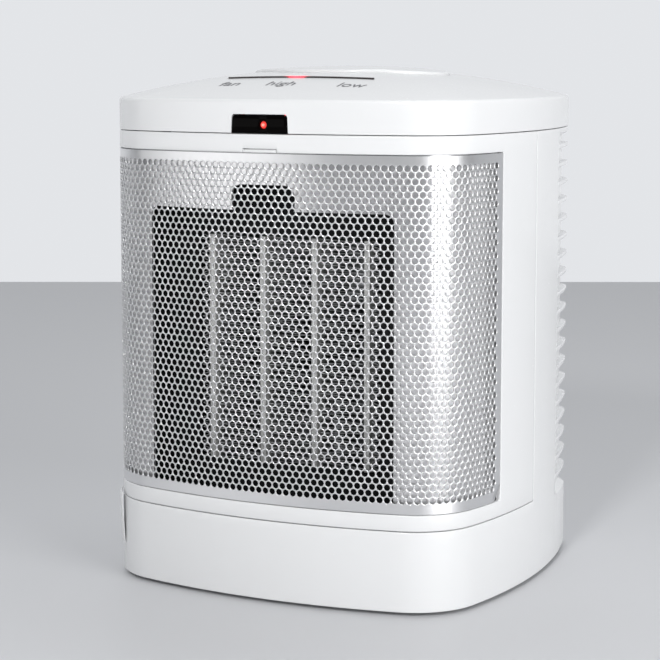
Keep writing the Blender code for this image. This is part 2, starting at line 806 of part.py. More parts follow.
def add_heater_core(ceramic, aluminium, brass, steel):
    """Four upright ceramic bars with folded fins between them, two terminals and the cut-out."""
    first = -BAR_SPACING * (BAR_COUNT - 1) / 2
    half = BAR_WIDTH / 2
    places = [first + BAR_SPACING * i for i in range(BAR_COUNT)]
    for i, x in enumerate(places):
        block(
            f"heater_bar_{i + 1}",
            (x - half, CORE_FRONT_DEPTH, CORE_LOW),
            (x + half, CORE_BACK_DEPTH, CORE_HIGH),
            ceramic,
        )
    edges = [places[0] - half - OUTER_FIN_WIDTH - GAP] + [x + half for x in places]
    ends = [x - half for x in places] + [places[-1] + half + OUTER_FIN_WIDTH + GAP]
    for i, (left, right) in enumerate(zip(edges, ends)):
        add_fin_pack(f"fin_pack_{i + 1}", left + GAP, right - GAP, aluminium)
    back = CORE_BACK_DEPTH + GAP
    width, length, thickness = TERMINAL_SIZE
    level = CORE_HIGH + TERMINAL_RISE
    for name, x in (("left", -TERMINAL_X), ("right", TERMINAL_X)):
        block(
            f"heater_terminal_{name}",
            (x - width / 2, back, level),
            (x + width / 2, back + length, level + thickness),
            brass,
        )
    shoulder, neck, tip = CUTOUT_LENGTHS
    turned(
        "thermal_cutout",
        [
            (CUTOUT_RADIUS, 0),
            (CUTOUT_RADIUS, shoulder),
            (CUTOUT_HEAD_RADIUS, neck),
            (CUTOUT_HEAD_RADIUS, tip),
        ],
        at(0, back, CORE_HIGH + CUTOUT_RISE),
        "y",
        False,
        steel,
    )


# --- fan -----------------------------------------------------------------------------------------


def add_fan_shroud(black, helper):
    """The shallow box behind the duct, with a round opening and the ring that the blades run in."""
    shroud = block(
        "fan_shroud",
        (-DUCT_HALF_WIDTH, DUCT_BACK_DEPTH + GAP, DUCT_LOW),
        (DUCT_HALF_WIDTH, SHROUD_PLATE_DEPTH + WALL, DUCT_HIGH),
        black,
    )
    inner = DUCT_HALF_WIDTH - DUCT_WALL
    pocket = block(
        "shroud_pocket",
        (-inner, CORE_BACK_DEPTH, DUCT_LOW + DUCT_WALL),
        (inner, SHROUD_PLATE_DEPTH, DUCT_HIGH - DUCT_WALL),
        helper,
    )
    centre = at(0, 0, FAN_LEVEL)
    ring = cylinder(
        "shroud_ring", FAN_RING_RADIUS + DUCT_WALL, centre, SHROUD_PLATE_DEPTH + GAP, SHROUD_BACK_DEPTH,
        "y", helper,
    )
    bore = cylinder(
        "shroud_bore", FAN_RING_RADIUS, centre, SHROUD_PLATE_DEPTH - WALL, SHROUD_BACK_DEPTH + WALL,
        "y", helper,
    )
    shape(shroud, "DIFFERENCE", pocket)
    shape(shroud, "UNION", ring)
    shape(shroud, "DIFFERENCE", bore)


def blade_section(radius):
    """A slanted blade section at a radius; the slant eases towards the tip."""
    share = (radius - HUB_RADIUS) / (FAN_RADIUS - HUB_RADIUS)
    slant = math.radians(BLADE_SLANTS[0] + (BLADE_SLANTS[1] - BLADE_SLANTS[0]) * share)
    chord = BLADE_CHORDS[0] + (BLADE_CHORDS[1] - BLADE_CHORDS[0]) * share
    chord = min(chord, BLADE_REACH / math.sin(slant))
    along = Vector((math.cos(slant), math.sin(slant))) * chord / 2
    across = Vector((-along.y, along.x)).normalized() * BLADE_THICKNESS / 2
    corners = (along + across, along - across, -along - across, across - along)
    return [Vector((corner.x, corner.y, radius)) for corner in corners]


def add_rotor(black, steel, helper):
    """The fan wheel and the motor's shaft, which turn together."""
    centre = at(0, 0, FAN_LEVEL)
    hub_profile = [
        (SHAFT_RADIUS + BORE_CLEARANCE, FAN_FRONT_DEPTH + WALL),
        (HUB_RADIUS - WALL, FAN_FRONT_DEPTH),
        (HUB_RADIUS, FAN_FRONT_DEPTH + WALL),
        (HUB_RADIUS, FAN_BACK_DEPTH),
        (SHAFT_RADIUS + BORE_CLEARANCE, FAN_BACK_DEPTH),
    ]
    wheel = turned("fan_wheel", hub_profile, centre, "y", True, black)
    middle = at(0, (FAN_FRONT_DEPTH + FAN_BACK_DEPTH) / 2, FAN_LEVEL)
    radii = [HUB_RADIUS - 0.6 * WALL, 0.7 * HUB_RADIUS + 0.3 * FAN_RADIUS]
    radii += [0.3 * HUB_RADIUS + 0.7 * FAN_RADIUS, FAN_RADIUS]
    for number in range(BLADE_COUNT):
        blade = loft(f"blade_{number + 1}", [blade_section(radius) for radius in radii], False, helper)
        turn = Matrix.Rotation(FULL_TURN * number / BLADE_COUNT, 4, "Y")
        blade.data.transform(Matrix.Translation(middle) @ turn)
        shape(wheel, "UNION", blade)
    for tool in [wheel] + [modifier.object for modifier in wheel.modifiers]:
        put_origin(tool, middle)
    shaft = cylinder(
        "motor_shaft", SHAFT_RADIUS, centre, FAN_FRONT_DEPTH + 2 * WALL, MOTOR_BACK_DEPTH + GAP, "y", steel,
        SMALL_ROUND_STEPS,
    )
    put_origin(shaft, middle)


def add_motor(steel, bronze, black, helper):
    """The motor's can, the two bushes that its shaft runs in, and the bracket behind the ring."""
    centre = at(0, 0, FAN_LEVEL)
    seat, bore = BUSH_RADIUS + BORE_CLEARANCE, SHAFT_RADIUS + 2 * BORE_CLEARANCE
    front_seat = MOTOR_FRONT_DEPTH + BUSH_LENGTH + GAP
    back_seat = MOTOR_BACK_DEPTH - BUSH_LENGTH - GAP
    turned(
        "motor_body",
        [
            (seat, MOTOR_FRONT_DEPTH),
            (MOTOR_RADIUS - SMALL_EDGE, MOTOR_FRONT_DEPTH),
            (MOTOR_RADIUS, MOTOR_FRONT_DEPTH + SMALL_EDGE),
            (MOTOR_RADIUS, MOTOR_BACK_DEPTH - SMALL_EDGE),
            (MOTOR_RADIUS - SMALL_EDGE, MOTOR_BACK_DEPTH),
            (seat, MOTOR_BACK_DEPTH),
            (seat, back_seat),
            (bore, back_seat),
            (bore, front_seat),
            (seat, front_seat),
        ],
        centre,
        "y",
        True,
        steel,
    )
    for name, low in (("front", MOTOR_FRONT_DEPTH), ("rear", back_seat + GAP)):
        tube(
            f"{name}_bush", BUSH_RADIUS, SHAFT_RADIUS + BORE_CLEARANCE, centre, low, low + BUSH_LENGTH,
            "y", bronze, SMALL_ROUND_STEPS,
        )
    front, back = MOTOR_FRONT_DEPTH + 2 * WALL, MOTOR_FRONT_DEPTH + 3.4 * WALL
    bracket = tube(
        "motor_bracket", MOTOR_RADIUS + 1.6 * WALL, MOTOR_RADIUS + BORE_CLEARANCE, centre, front, back,
        "y", black,
    )
    reach = FAN_RING_RADIUS + 1.6 * WALL
    for number in range(ARM_COUNT):
        turn = Matrix.Rotation(FULL_TURN * (number + 0.5) / ARM_COUNT, 4, "Y")
        spin = Matrix.Translation(centre) @ turn @ Matrix.Translation(-centre)
        arm = block(
            f"arm_{number + 1}",
            (-WALL, front + GAP, FAN_LEVEL + MOTOR_RADIUS + 0.8 * WALL),
            (WALL, back - GAP, FAN_LEVEL + reach),
            helper,
        )
        leg = block(
            f"leg_{number + 1}",
            (-1.2 * WALL, SHROUD_BACK_DEPTH + GAP, FAN_LEVEL + reach - 1.6 * WALL),
            (1.2 * WALL, back + GAP, FAN_LEVEL + reach + GAP),
            helper,
        )
        arm.data.transform(spin)
        leg.data.transform(spin)
        shape(bracket, "UNION", arm, leg)


# --- base ----------------------------------------------------------------------------------------


def screw_places():
    """Name, x and depth of the four base screws, each just inside the casing's side wall."""
    places = []
    for end, depth in zip(("front", "rear"), SCREW_DEPTHS):
        x = plan_point(side_angle(depth), WALL)[0] - 0.85 * BOSS_RADIUS
        places += [(f"{end}_left", -x, depth), (f"{end}_right", x, depth)]
    return places


def screw_head_top():
    return CASING_BOTTOM + PLATE_THICKNESS + GAP


def add_base_plate(plastic, steel, rubber, helper):
    """The plate that closes the casing's underside, its four screws and the four feet."""
    plate = loft(
        "base_plate",
        [
            [on_plan(angle, WALL + GAP, level) for angle in AROUND]
            for level in (CASING_BOTTOM, CASING_BOTTOM + PLATE_THICKNESS)
        ],
        False,
        plastic,
    )
    head_low = CASING_BOTTOM + GAP / 4
    head_high = CASING_BOTTOM + PLATE_THICKNESS / 2
    for name, x, depth in screw_places():
        centre = at(x, depth, 0)
        clear = turned(
            f"screw_clearance_{name}",
            [
                (SCREW_HEAD_RADIUS + GAP, CASING_BOTTOM - WALL),
                (SCREW_HEAD_RADIUS + GAP, head_high + GAP),
                (SCREW_RADIUS + GAP, head_high + GAP),
                (SCREW_RADIUS + GAP, 2 * BOSS_RADIUS),
            ],
            centre,
            "z",
            False,
            helper,
            SMALL_ROUND_STEPS,
        )
        shape(plate, "DIFFERENCE", clear)
        turned(
            f"base_screw_{name}",
            [
                (SCREW_HEAD_RADIUS, head_low),
                (SCREW_HEAD_RADIUS, head_high),
                (SCREW_RADIUS, head_high),
                (SCREW_RADIUS, BOSS_HIGH - 2 * WALL),
            ],
            centre,
            "z",
            False,
            steel,
            SMALL_ROUND_STEPS,
        )
    for end, depth in FOOT_DEPTHS.items():
        for side, x in (("left", -FOOT_X), ("right", FOOT_X)):
            profile = [(FOOT_RADIUS - FOOT_BEVEL, 0), (FOOT_RADIUS, FOOT_BEVEL), (FOOT_RADIUS, FOOT_HEIGHT)]
            turned(f"foot_{end}_{side}", profile, at(x, depth, 0), "z", False, rubber)


def add_cord_gland(black):
    """The grommet in the back of the base, with the hole that the mains lead comes through."""
    outer, inner = GLAND_COLLAR_RADIUS, CORD_HOLE_RADIUS
    turned(
        "cord_gland",
        [
            (inner, -2.4 * WALL),
            (outer, -2.4 * WALL),
            (outer, -WALL - GAP),
            (GLAND_RADIUS, -WALL - GAP),
            (GLAND_RADIUS, GAP),
            (outer, GAP),
            (outer, GLAND_PROUD / 2),
            (GLAND_RADIUS, GLAND_PROUD),
            (inner, GLAND_PROUD),
        ],
        at(0, DEPTH, GLAND_LEVEL),
        "y",
        True,
        black,
    )


def add_base_latch(plastic):
    """The thin moulded blade on the base's front left corner, standing off further at its top."""
    profile = [
        (-LATCH_STAND_OFF, LATCH_LOW),
        (-LATCH_STAND_OFF - LATCH_SHEET, LATCH_LOW),
        (-LATCH_REACH, LATCH_HIGH - 2 * SMALL_EDGE),
        (-LATCH_REACH + GAP / 2, LATCH_HIGH - 0.7 * SMALL_EDGE),
        (-2 * LATCH_SHEET, LATCH_HIGH),
        (-LATCH_SHEET, LATCH_HIGH),
        (-LATCH_STAND_OFF - LATCH_SHEET, LATCH_HIGH - 3 * SMALL_EDGE),
    ]
    start, end = (math.radians(angle) for angle in LATCH_ANGLES)
    strip("base_latch", angles_between(start, end), profile, plastic)


def add_tilt_switch(black):
    """The small capsule on the base plate that cuts the power if the heater is knocked over."""
    corner = (*TILT_SWITCH_CORNER, CASING_BOTTOM + PLATE_THICKNESS + GAP)
    block("tilt_switch", corner, [low + size for low, size in zip(corner, TILT_SWITCH_SIZE)], black)


def main():
    for thing in list(bpy.data.objects):
        bpy.data.objects.remove(thing, do_unlink=True)

    white = finish("white_plastic", (0.86, 0.87, 0.88), 0.25)
    inner_white = finish("baffle_plastic", (0.78, 0.79, 0.80), 0.45)
    black = finish("black_plastic", (0.02, 0.02, 0.02), 0.6)
    smoked = finish("smoked_lens", (0.01, 0.008, 0.008), 0.1)
    red = finish("red_lens", (0.8, 0.05, 0.03), 0.2)
    silver = finish("silver_sheet", (0.70, 0.71, 0.72), 0.35, 1.0)
    aluminium = finish("fin_aluminium", (0.75, 0.76, 0.77), 0.4, 1.0)
    ceramic = finish("heater_bar", (0.80, 0.80, 0.78), 0.5, 0.6)
    steel = finish("zinc_steel", (0.60, 0.61, 0.62), 0.4, 1.0)
    bronze = finish("bush_bronze", (0.55, 0.38, 0.2), 0.45, 1.0)
    brass = finish("terminal_brass", (0.75, 0.6, 0.3), 0.35, 1.0)
    board = finish("circuit_board", (0.05, 0.22, 0.1), 0.5)
    rubber = finish("foot_rubber", (0.03, 0.03, 0.03), 0.9)
    helper = finish("helper", (0.5, 0.5, 0.5), 0.5)

    add_rear_housing(white, helper)
    add_front_housing(white, helper)
    add_top_cover(white, helper)
    add_grille(silver, white)
    add_front_baffle(inner_white, helper)

    add_control_button(white)
    add_switch(black, inner_white, steel, helper)
    add_control_board(board, red, smoked, helper)
    add_indicator(smoked, red, helper)

    add_outlet_duct(black, helper)
    add_heater_frame(black, helper)
    add_heater_core(ceramic, aluminium, brass, steel)

    add_fan_shroud(black, helper)
    add_rotor(black, steel, helper)
    add_motor(steel, bronze, black, helper)

    add_base_plate(white, steel, rubber, helper)
    add_cord_gland(black)
    add_base_latch(white)
    add_tilt_switch(black)


main()
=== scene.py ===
"""A tabletop ceramic space heater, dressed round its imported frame.

Metres, +Z up. The grille faces -Y and the louvred back faces +Y.
"""

import math

import bmesh
import bpy
import numpy as np
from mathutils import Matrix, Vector


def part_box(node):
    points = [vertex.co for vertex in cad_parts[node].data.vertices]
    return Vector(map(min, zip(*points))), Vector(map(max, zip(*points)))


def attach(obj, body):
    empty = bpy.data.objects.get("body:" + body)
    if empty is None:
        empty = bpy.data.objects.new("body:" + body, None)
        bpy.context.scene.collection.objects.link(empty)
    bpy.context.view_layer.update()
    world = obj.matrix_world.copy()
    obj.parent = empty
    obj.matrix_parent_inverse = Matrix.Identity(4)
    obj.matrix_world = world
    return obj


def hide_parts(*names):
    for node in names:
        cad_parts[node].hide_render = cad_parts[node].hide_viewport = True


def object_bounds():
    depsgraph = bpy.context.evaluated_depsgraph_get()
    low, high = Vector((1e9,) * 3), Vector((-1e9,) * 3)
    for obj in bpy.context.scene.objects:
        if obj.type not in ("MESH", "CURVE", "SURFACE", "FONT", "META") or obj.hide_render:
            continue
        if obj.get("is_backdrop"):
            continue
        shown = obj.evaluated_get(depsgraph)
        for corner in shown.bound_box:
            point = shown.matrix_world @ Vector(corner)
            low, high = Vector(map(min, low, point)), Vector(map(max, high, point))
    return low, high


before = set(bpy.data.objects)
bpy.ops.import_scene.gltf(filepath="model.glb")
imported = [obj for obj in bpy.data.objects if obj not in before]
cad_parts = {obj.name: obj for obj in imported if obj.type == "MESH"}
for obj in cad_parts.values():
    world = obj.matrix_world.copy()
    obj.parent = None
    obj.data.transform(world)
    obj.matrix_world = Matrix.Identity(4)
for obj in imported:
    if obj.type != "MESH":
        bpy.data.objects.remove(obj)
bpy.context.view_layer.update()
bpy.ops.object.select_all(action="DESELECT")

# --- Table, light and camera ---------------------------------------------------------------------
# A plain pale table top that ends in front of a bright wall, which the world stands for. Four
# lamps light it: a small key above the front, a wide one overhead, a low one on the left and a tall
# one on the right.
TABLE_TURN, TABLE_WIDE, TABLE_DEEP, TABLE_AHEAD = math.radians(26), 6.0, 4.4, 1.15
LENS, LENS_SHIFT, SENSOR = 104.7, -0.10, 36
CAMERA_PLACE, CAMERA_DIP, CAMERA_TURN = (0.3926, -0.8190, 0.2398), 6.11, 26.09
LAMP_TARGET = Vector((0, 0, 0.12))

bpy.ops.mesh.primitive_grid_add(
    x_subdivisions=2, y_subdivisions=2, size=1, location=(0, 0, 0), rotation=(0, 0, TABLE_TURN)
)
table = bpy.context.object
table.name = "table_top"
table.scale = (TABLE_WIDE, TABLE_DEEP, 1)
table_middle = TABLE_DEEP / 2 - TABLE_AHEAD
table.location = (math.sin(TABLE_TURN) * table_middle, -math.cos(TABLE_TURN) * table_middle, 0)
bpy.ops.object.transform_apply(location=True, rotation=True, scale=True)
table_finish = bpy.data.materials.new("table_paint")
table_finish.use_nodes = True
table_shader = table_finish.node_tree.nodes["Principled BSDF"]
table_shader.inputs["Base Color"].default_value = (0.62, 0.625, 0.64, 1)
table_shader.inputs["Roughness"].default_value = 0.45
table.data.materials.append(table_finish)
table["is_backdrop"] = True

world = bpy.data.worlds.new("studio")
world.use_nodes = True
bpy.context.scene.world = world
bpy.context.scene.view_settings.view_transform = "Standard"
nodes, links = world.node_tree.nodes, world.node_tree.links
direction = nodes.new("ShaderNodeTexCoord")
across = nodes.new("ShaderNodeVectorMath")
across.operation = "DOT_PRODUCT"
across.inputs[1].default_value = (-math.sin(TABLE_TURN), math.cos(TABLE_TURN), 0.35)
walls = nodes.new("ShaderNodeValToRGB")
walls.color_ramp.elements[0].position = 0.0
walls.color_ramp.elements[0].color = (0.13, 0.135, 0.14, 1)
walls.color_ramp.elements[1].position = 0.55
walls.color_ramp.elements[1].color = (0.77, 0.785, 0.81, 1)
links.new(direction.outputs["Generated"], across.inputs[0])
links.new(across.outputs["Value"], walls.inputs["Fac"])
links.new(walls.outputs["Color"], nodes["Background"].inputs["Color"])
nodes["Background"].inputs["Strength"].default_value = 1.0

for box_name, place, width, height, power in (
    ("key_box", (0.18, -1.00, 0.75), 0.14, 0.14, 5.6),
    ("overhead_box", (0.2, 0.3, 1.4), 1.5, 1.0, 1.5),
    ("left_box", (-0.95, -1.35, 0.15), 1.0, 0.7, 3.2),
    ("right_box", (1.30, -0.55, 0.40), 0.8, 1.1, 15),
):
    lamp = bpy.data.lights.new(box_name, "AREA")
    lamp.shape = "RECTANGLE"
    lamp.size, lamp.size_y, lamp.energy = width, height, power
    box = bpy.data.objects.new(box_name, lamp)
    box.location = place
    box.rotation_euler = (LAMP_TARGET - box.location).to_track_quat("-Z", "Y").to_euler()
    bpy.context.scene.collection.objects.link(box)

lens = bpy.data.cameras.new("camera")
lens.sensor_width = SENSOR
lens.lens = LENS
lens.shift_y = LENS_SHIFT
lens.dof.use_dof = False
camera = bpy.data.objects.new("camera", lens)
camera.location = CAMERA_PLACE
camera.rotation_euler = (math.radians(90 - CAMERA_DIP), 0, math.radians(CAMERA_TURN))
bpy.context.scene.collection.objects.link(camera)
bpy.context.scene.camera = camera

# --- Rear housing --------------------------------------------------------------------------------
# The main moulding, in glossy white plastic: the base ring all round and, above it, the back half
# with its nineteen louvre ribs. The ribs stand in a shallow recess and cross the air intake.
HALF_WIDTH, DEPTH, WIDEST = 0.09529, 0.1702, 0.0896
FRONT_ROUND, SIDE_ROUND, BACK_ROUND = 0.2934, 0.2499, 0.8840
CORNER_ROUND, HEEL_ROUND = 0.0330, 0.0133
FRONT_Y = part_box("grille")[0].y
CAP_LEVEL, SEAM_LEVEL, UNDERSIDE = 0.2073, 0.0371, 0.0018
WALL, GAP = 0.0025, 0.0004
PARTING_DEPTH = 0.0884
RECESS_START, RECESS_FULL, RECESS_DEPTH = 0.1238, 0.1340, 0.0030
RECESS_LOW, RECESS_HIGH, RECESS_SLOPE = 0.0335, 0.2030, 0.0020
RIB_COUNT, RIB_PITCH, RIB_THICKNESS, RIB_SHORT, TOP_RIB = 19, 0.00877, 0.0020, 0.0008, 0.1987
INTAKE_HALF, INTAKE_LOW, INTAKE_HIGH = 0.0560, 0.0500, 0.1880
GLAND_LEVEL, GLAND_HOLE = 0.0170, 0.0076


def crossing(first, first_radius, second, second_radius):
    """The point on the right where two circles cross."""
    between = second - first
    along = (between.length_squared + first_radius**2 - second_radius**2) / (2 * between.length)
    unit = between.normalized()
    return first + unit * along + Vector((-unit.y, unit.x)) * math.sqrt(first_radius**2 - along**2)


def casing_line(steps=400):
    """The casing's plan as arcs: way round from the middle of the front, x, y and normal angle."""
    front, rear = Vector((0, FRONT_ROUND)), Vector((0, DEPTH - BACK_ROUND))
    side = Vector((HALF_WIDTH - SIDE_ROUND, WIDEST))
    corner = crossing(front, FRONT_ROUND - CORNER_ROUND, side, SIDE_ROUND - CORNER_ROUND)
    heel = crossing(side, SIDE_ROUND - HEEL_ROUND, rear, BACK_ROUND - HEEL_ROUND)

    def facing(centre, point):
        return math.atan2(point.x - centre.x, centre.y - point.y)

    arcs = [
        (front, FRONT_ROUND, 0, facing(front, corner)),
        (corner, CORNER_ROUND, facing(front, corner), facing(side, corner)),
        (side, SIDE_ROUND, facing(side, corner), facing(side, heel)),
        (heel, HEEL_ROUND, facing(side, heel), facing(rear, heel)),
        (rear, BACK_ROUND, facing(rear, heel), math.pi),
    ]
    rows, gone = [], 0.0
    for centre, radius, start, end in arcs:
        for turn in np.linspace(start, end, steps, endpoint=end == math.pi):
            x, y = centre.x + radius * math.sin(turn), centre.y - radius * math.cos(turn)
            rows.append((gone + radius * (turn - start), x, FRONT_Y + y, turn))
        gone += radius * (end - start)
    half = np.array(rows)
    return np.vstack([half[:0:-1] * (-1, -1, 1, -1), half])


ROUND, ROUND_X, ROUND_Y, ROUND_TURN = casing_line().T
HALF_ROUND = ROUND[-1]


def on_casing(way, inset):
    """World x and y for distances round the casing and depths below its skin."""
    turn = np.interp(way, ROUND, ROUND_TURN)
    x = np.interp(way, ROUND, ROUND_X) - inset * np.sin(turn)
    return x, np.interp(way, ROUND, ROUND_Y) + inset * np.cos(turn)


def way_to_x(x, inset=0.0):
    """How far round the front the casing reaches a given x."""
    near = np.abs(ROUND_TURN) < math.radians(60)
    return float(np.interp(x, ROUND_X[near] - inset * np.sin(ROUND_TURN[near]), ROUND[near]))


def way_to_depth(depth):
    """How far round the right side lies at a given depth behind the front."""
    side = (ROUND > 0.04) & (ROUND_TURN < math.radians(125))
    return float(np.interp(FRONT_Y + depth, ROUND_Y[side], ROUND[side]))


def points_of(piece):
    spots = np.empty(len(piece.data.vertices) * 3)
    piece.data.vertices.foreach_get("co", spots)
    return spots.reshape(-1, 3)


def move_points(piece, spots):
    piece.data.vertices.foreach_set("co", np.ascontiguousarray(spots, dtype=np.float64).ravel())
    piece.data.update()


def wrap(piece):
    """Bends a flat piece round the casing: its x is the way round, its y the depth in."""
    spots = points_of(piece)
    spots[:, 0], spots[:, 1] = on_casing(spots[:, 0].copy(), spots[:, 1].copy())
    move_points(piece, spots)


def only(piece):
    """Selects one piece and nothing else."""
    bpy.ops.object.select_all(action="DESELECT")
    piece.select_set(True)
    bpy.context.view_layer.objects.active = piece


def settle(piece):
    """Puts a piece's place in its mesh, with its object at the origin."""
    only(piece)
    bpy.ops.object.transform_apply(location=True, rotation=True, scale=True)


def block(middle, size, turn=0.0):
    """A plain block, turned about its upright axis."""
    bpy.ops.object.select_all(action="DESELECT")
    bpy.ops.mesh.primitive_cube_add(size=1, location=middle, rotation=(0, 0, turn))
    piece = bpy.context.object
    piece.scale = size
    settle(piece)
    return piece


def rod(radius, length, middle, lying=True, points=48):
    """A plain cylinder, lying from front to back or upright."""
    bpy.ops.object.select_all(action="DESELECT")
    bpy.ops.mesh.primitive_cylinder_add(
        vertices=points, radius=radius, depth=length, location=middle,
        rotation=(math.radians(90) if lying else 0, 0, 0),
    )
    return bpy.context.object


def upright_sheet(name, left, right, low, high, columns, rows=1, depth=0.0):
    """A flat upright grid that faces the front, with its columns along the way round."""
    bpy.ops.object.select_all(action="DESELECT")
    bpy.ops.mesh.primitive_grid_add(
        x_subdivisions=columns,
        y_subdivisions=rows,
        size=1,
        location=((left + right) / 2, depth, (low + high) / 2),
        rotation=(math.radians(90), 0, 0),
    )
    piece = bpy.context.object
    piece.name = piece.data.name = name
    piece.scale = (right - left, high - low, 1)
    settle(piece)
    return piece


def edit(piece):
    only(piece)
    bpy.ops.object.mode_set(mode="EDIT")
    bpy.ops.mesh.select_all(action="SELECT")


def leave():
    bpy.ops.object.mode_set(mode="OBJECT")


def cut_across(axis, *places):
    """Cuts the mesh being edited right across at places along an axis."""
    normal = Vector([axis == name for name in "xyz"])
    for place in places:
        bpy.ops.mesh.select_all(action="SELECT")
        bpy.ops.mesh.bisect(plane_co=normal * place, plane_no=normal)


def pick(kind, wanted):
    """Selects the verts, edges or faces being edited whose middle is wanted."""
    kinds = ("verts", "edges", "faces")
    bpy.context.tool_settings.mesh_select_mode = [kind == name for name in kinds]
    bpy.ops.mesh.select_all(action="DESELECT")
    mesh = bmesh.from_edit_mesh(bpy.context.object.data)
    for part in getattr(mesh, kind):
        corners = [part.co] if kind == "verts" else [corner.co for corner in part.verts]
        part.select_set(bool(wanted(sum(corners, Vector()) / len(corners))))
    mesh.select_flush_mode()
    bmesh.update_edit_mesh(bpy.context.object.data)


def cut_away(wanted):
    pick("faces", wanted)
    bpy.ops.mesh.delete(type="FACE")


def face_out():
    """Turns the normals of the mesh being edited outwards."""
    bpy.ops.mesh.select_all(action="SELECT")
    bpy.ops.mesh.normals_make_consistent(inside=False)


def close_end(piece):
    """Fills the one open edge that a piece has left."""
    edit(piece)
    bpy.context.tool_settings.mesh_select_mode = (False, True, False)
    bpy.ops.mesh.select_all(action="DESELECT")
    bpy.ops.mesh.select_non_manifold(extend=False)
    bpy.ops.mesh.edge_face_add()
    face_out()
    leave()


def modify(piece, kind, **settings):
    """Adds a modifier and applies it."""
    only(piece)
    step = piece.modifiers.new(kind.lower(), kind)
    for setting, value in settings.items():
        setattr(step, setting, value)
    bpy.ops.object.modifier_apply(modifier=step.name)


def repeat(piece, count, step, **settings):
    """Sets copies of a piece in a row, each a step on from the last."""
    modify(
        piece, "ARRAY", count=count, use_relative_offset=False, use_constant_offset=True,
        constant_offset_displace=step, **settings,
    )


def thicken(piece, thickness=WALL):
    modify(piece, "SOLIDIFY", thickness=thickness, offset=-1, use_even_offset=True)


def soften(piece, width, segments=2, angle=40):
    modify(
        piece, "BEVEL", width=width, segments=segments, limit_method="ANGLE",
        angle_limit=math.radians(angle), use_clamp_overlap=True, miter_outer="MITER_SHARP",
    )


def join_solid(piece, tool, operation):
    """Cuts or joins a piece with a tool solid, which is then thrown away."""
    modify(piece, "BOOLEAN", object=tool, operation=operation, solver="EXACT")
    bpy.data.objects.remove(tool, do_unlink=True)


def smooth(piece, angle=35):
    only(piece)
    bpy.ops.object.shade_smooth_by_angle(angle=math.radians(angle))


def dress(piece, finish, slot, body, *nodes):
    """Gives a piece its finish, its body and the nodes it stands for. The slot it comes from is not
    used.
    """
    piece.data.materials.clear()
    piece.data.materials.append(finish)
    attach(piece, body)
    if nodes:
        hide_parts(*nodes)


def finish_of(name, pale, deep, gloss, grain, relief, metallic=0.0, stretch=(1, 1, 1), patch=14):
    """A finish whose tone and gloss drift a little, over a fine relief of the given grain."""
    finish = bpy.data.materials.new(name)
    finish.use_nodes = True
    nodes, links = finish.node_tree.nodes, finish.node_tree.links
    shader = nodes["Principled BSDF"]
    shader.inputs["Metallic"].default_value = metallic
    place = nodes.new("ShaderNodeTexCoord")
    spread = nodes.new("ShaderNodeMapping")
    spread.inputs["Scale"].default_value = stretch
    links.new(place.outputs["Object"], spread.inputs["Vector"])
    drift = nodes.new("ShaderNodeTexNoise")
    drift.inputs["Scale"].default_value = patch
    drift.inputs["Detail"].default_value = 4
    fine = nodes.new("ShaderNodeTexNoise")
    fine.inputs["Scale"].default_value = grain
    fine.inputs["Detail"].default_value = 3
    tone = nodes.new("ShaderNodeMix")
    tone.data_type = "RGBA"
    tone.inputs["A"].default_value = (*pale, 1)
    tone.inputs["B"].default_value = (*deep, 1)
    sheen = nodes.new("ShaderNodeMapRange")
    sheen.inputs["To Min"].default_value, sheen.inputs["To Max"].default_value = gloss
    bump = nodes.new("ShaderNodeBump")
    bump.inputs["Distance"].default_value = relief
    bump.inputs["Strength"].default_value = 1
    for texture in (drift, fine):
        links.new(spread.outputs["Vector"], texture.inputs["Vector"])
    links.new(drift.outputs["Fac"], tone.inputs["Factor"])
    links.new(tone.outputs["Result"], shader.inputs["Base Color"])
    links.new(fine.outputs["Fac"], sheen.inputs["Value"])
    links.new(sheen.outputs["Result"], shader.inputs["Roughness"])
    links.new(fine.outputs["Fac"], bump.inputs["Height"])
    links.new(bump.outputs["Normal"], shader.inputs["Normal"])
    return finish


white_plastic = finish_of(
    "white_plastic", (0.82, 0.825, 0.83), (0.79, 0.795, 0.80), (0.20, 0.30), 900, 0.000006
)
white_plastic.node_tree.nodes["Principled BSDF"].inputs["Coat Weight"].default_value = 0.15
white_plastic.node_tree.nodes["Principled BSDF"].inputs["Coat Roughness"].default_value = 0.12

parting = way_to_depth(PARTING_DEPTH)
recess_start, recess_full = way_to_depth(RECESS_START), way_to_depth(RECESS_FULL)
intake_edge = HALF_ROUND - INTAKE_HALF


def recess_at(way):
    share = np.clip((np.abs(way) - recess_start) / (recess_full - recess_start), 0, 1)
    return RECESS_DEPTH * share * share * (3 - 2 * share)


rear_housing = upright_sheet(
    "rear_housing_moulding", -HALF_ROUND, HALF_ROUND, UNDERSIDE, CAP_LEVEL, 300
)
edit(rear_housing)
cut_across("x", parting, -parting, intake_edge, -intake_edge)
cut_across(
    "z", SEAM_LEVEL, INTAKE_LOW, INTAKE_HIGH, RECESS_LOW, RECESS_LOW - RECESS_SLOPE,
    RECESS_LOW - RECESS_SLOPE / 2, RECESS_HIGH, RECESS_HIGH + RECESS_SLOPE,
)
cut_away(lambda spot: spot.z > SEAM_LEVEL and abs(spot.x) < parting)
cut_away(lambda spot: abs(spot.x) > intake_edge and INTAKE_LOW < spot.z < INTAKE_HIGH)
leave()
spots = points_of(rear_housing)
sunk = (spots[:, 2] > RECESS_LOW - RECESS_SLOPE * 0.75) & (spots[:, 2] < RECESS_HIGH + 0.0001)
half_sunk = sunk & (spots[:, 2] < RECESS_LOW - 0.0001)
spots[:, 1] += np.where(sunk, recess_at(spots[:, 0]), 0) * np.where(half_sunk, 0.5, 1)
move_points(rear_housing, spots)
wrap(rear_housing)
edit(rear_housing)
bpy.ops.mesh.remove_doubles(threshold=0.00002)
face_out()
leave()
thicken(rear_housing)
soften(rear_housing, 0.0006, 3)

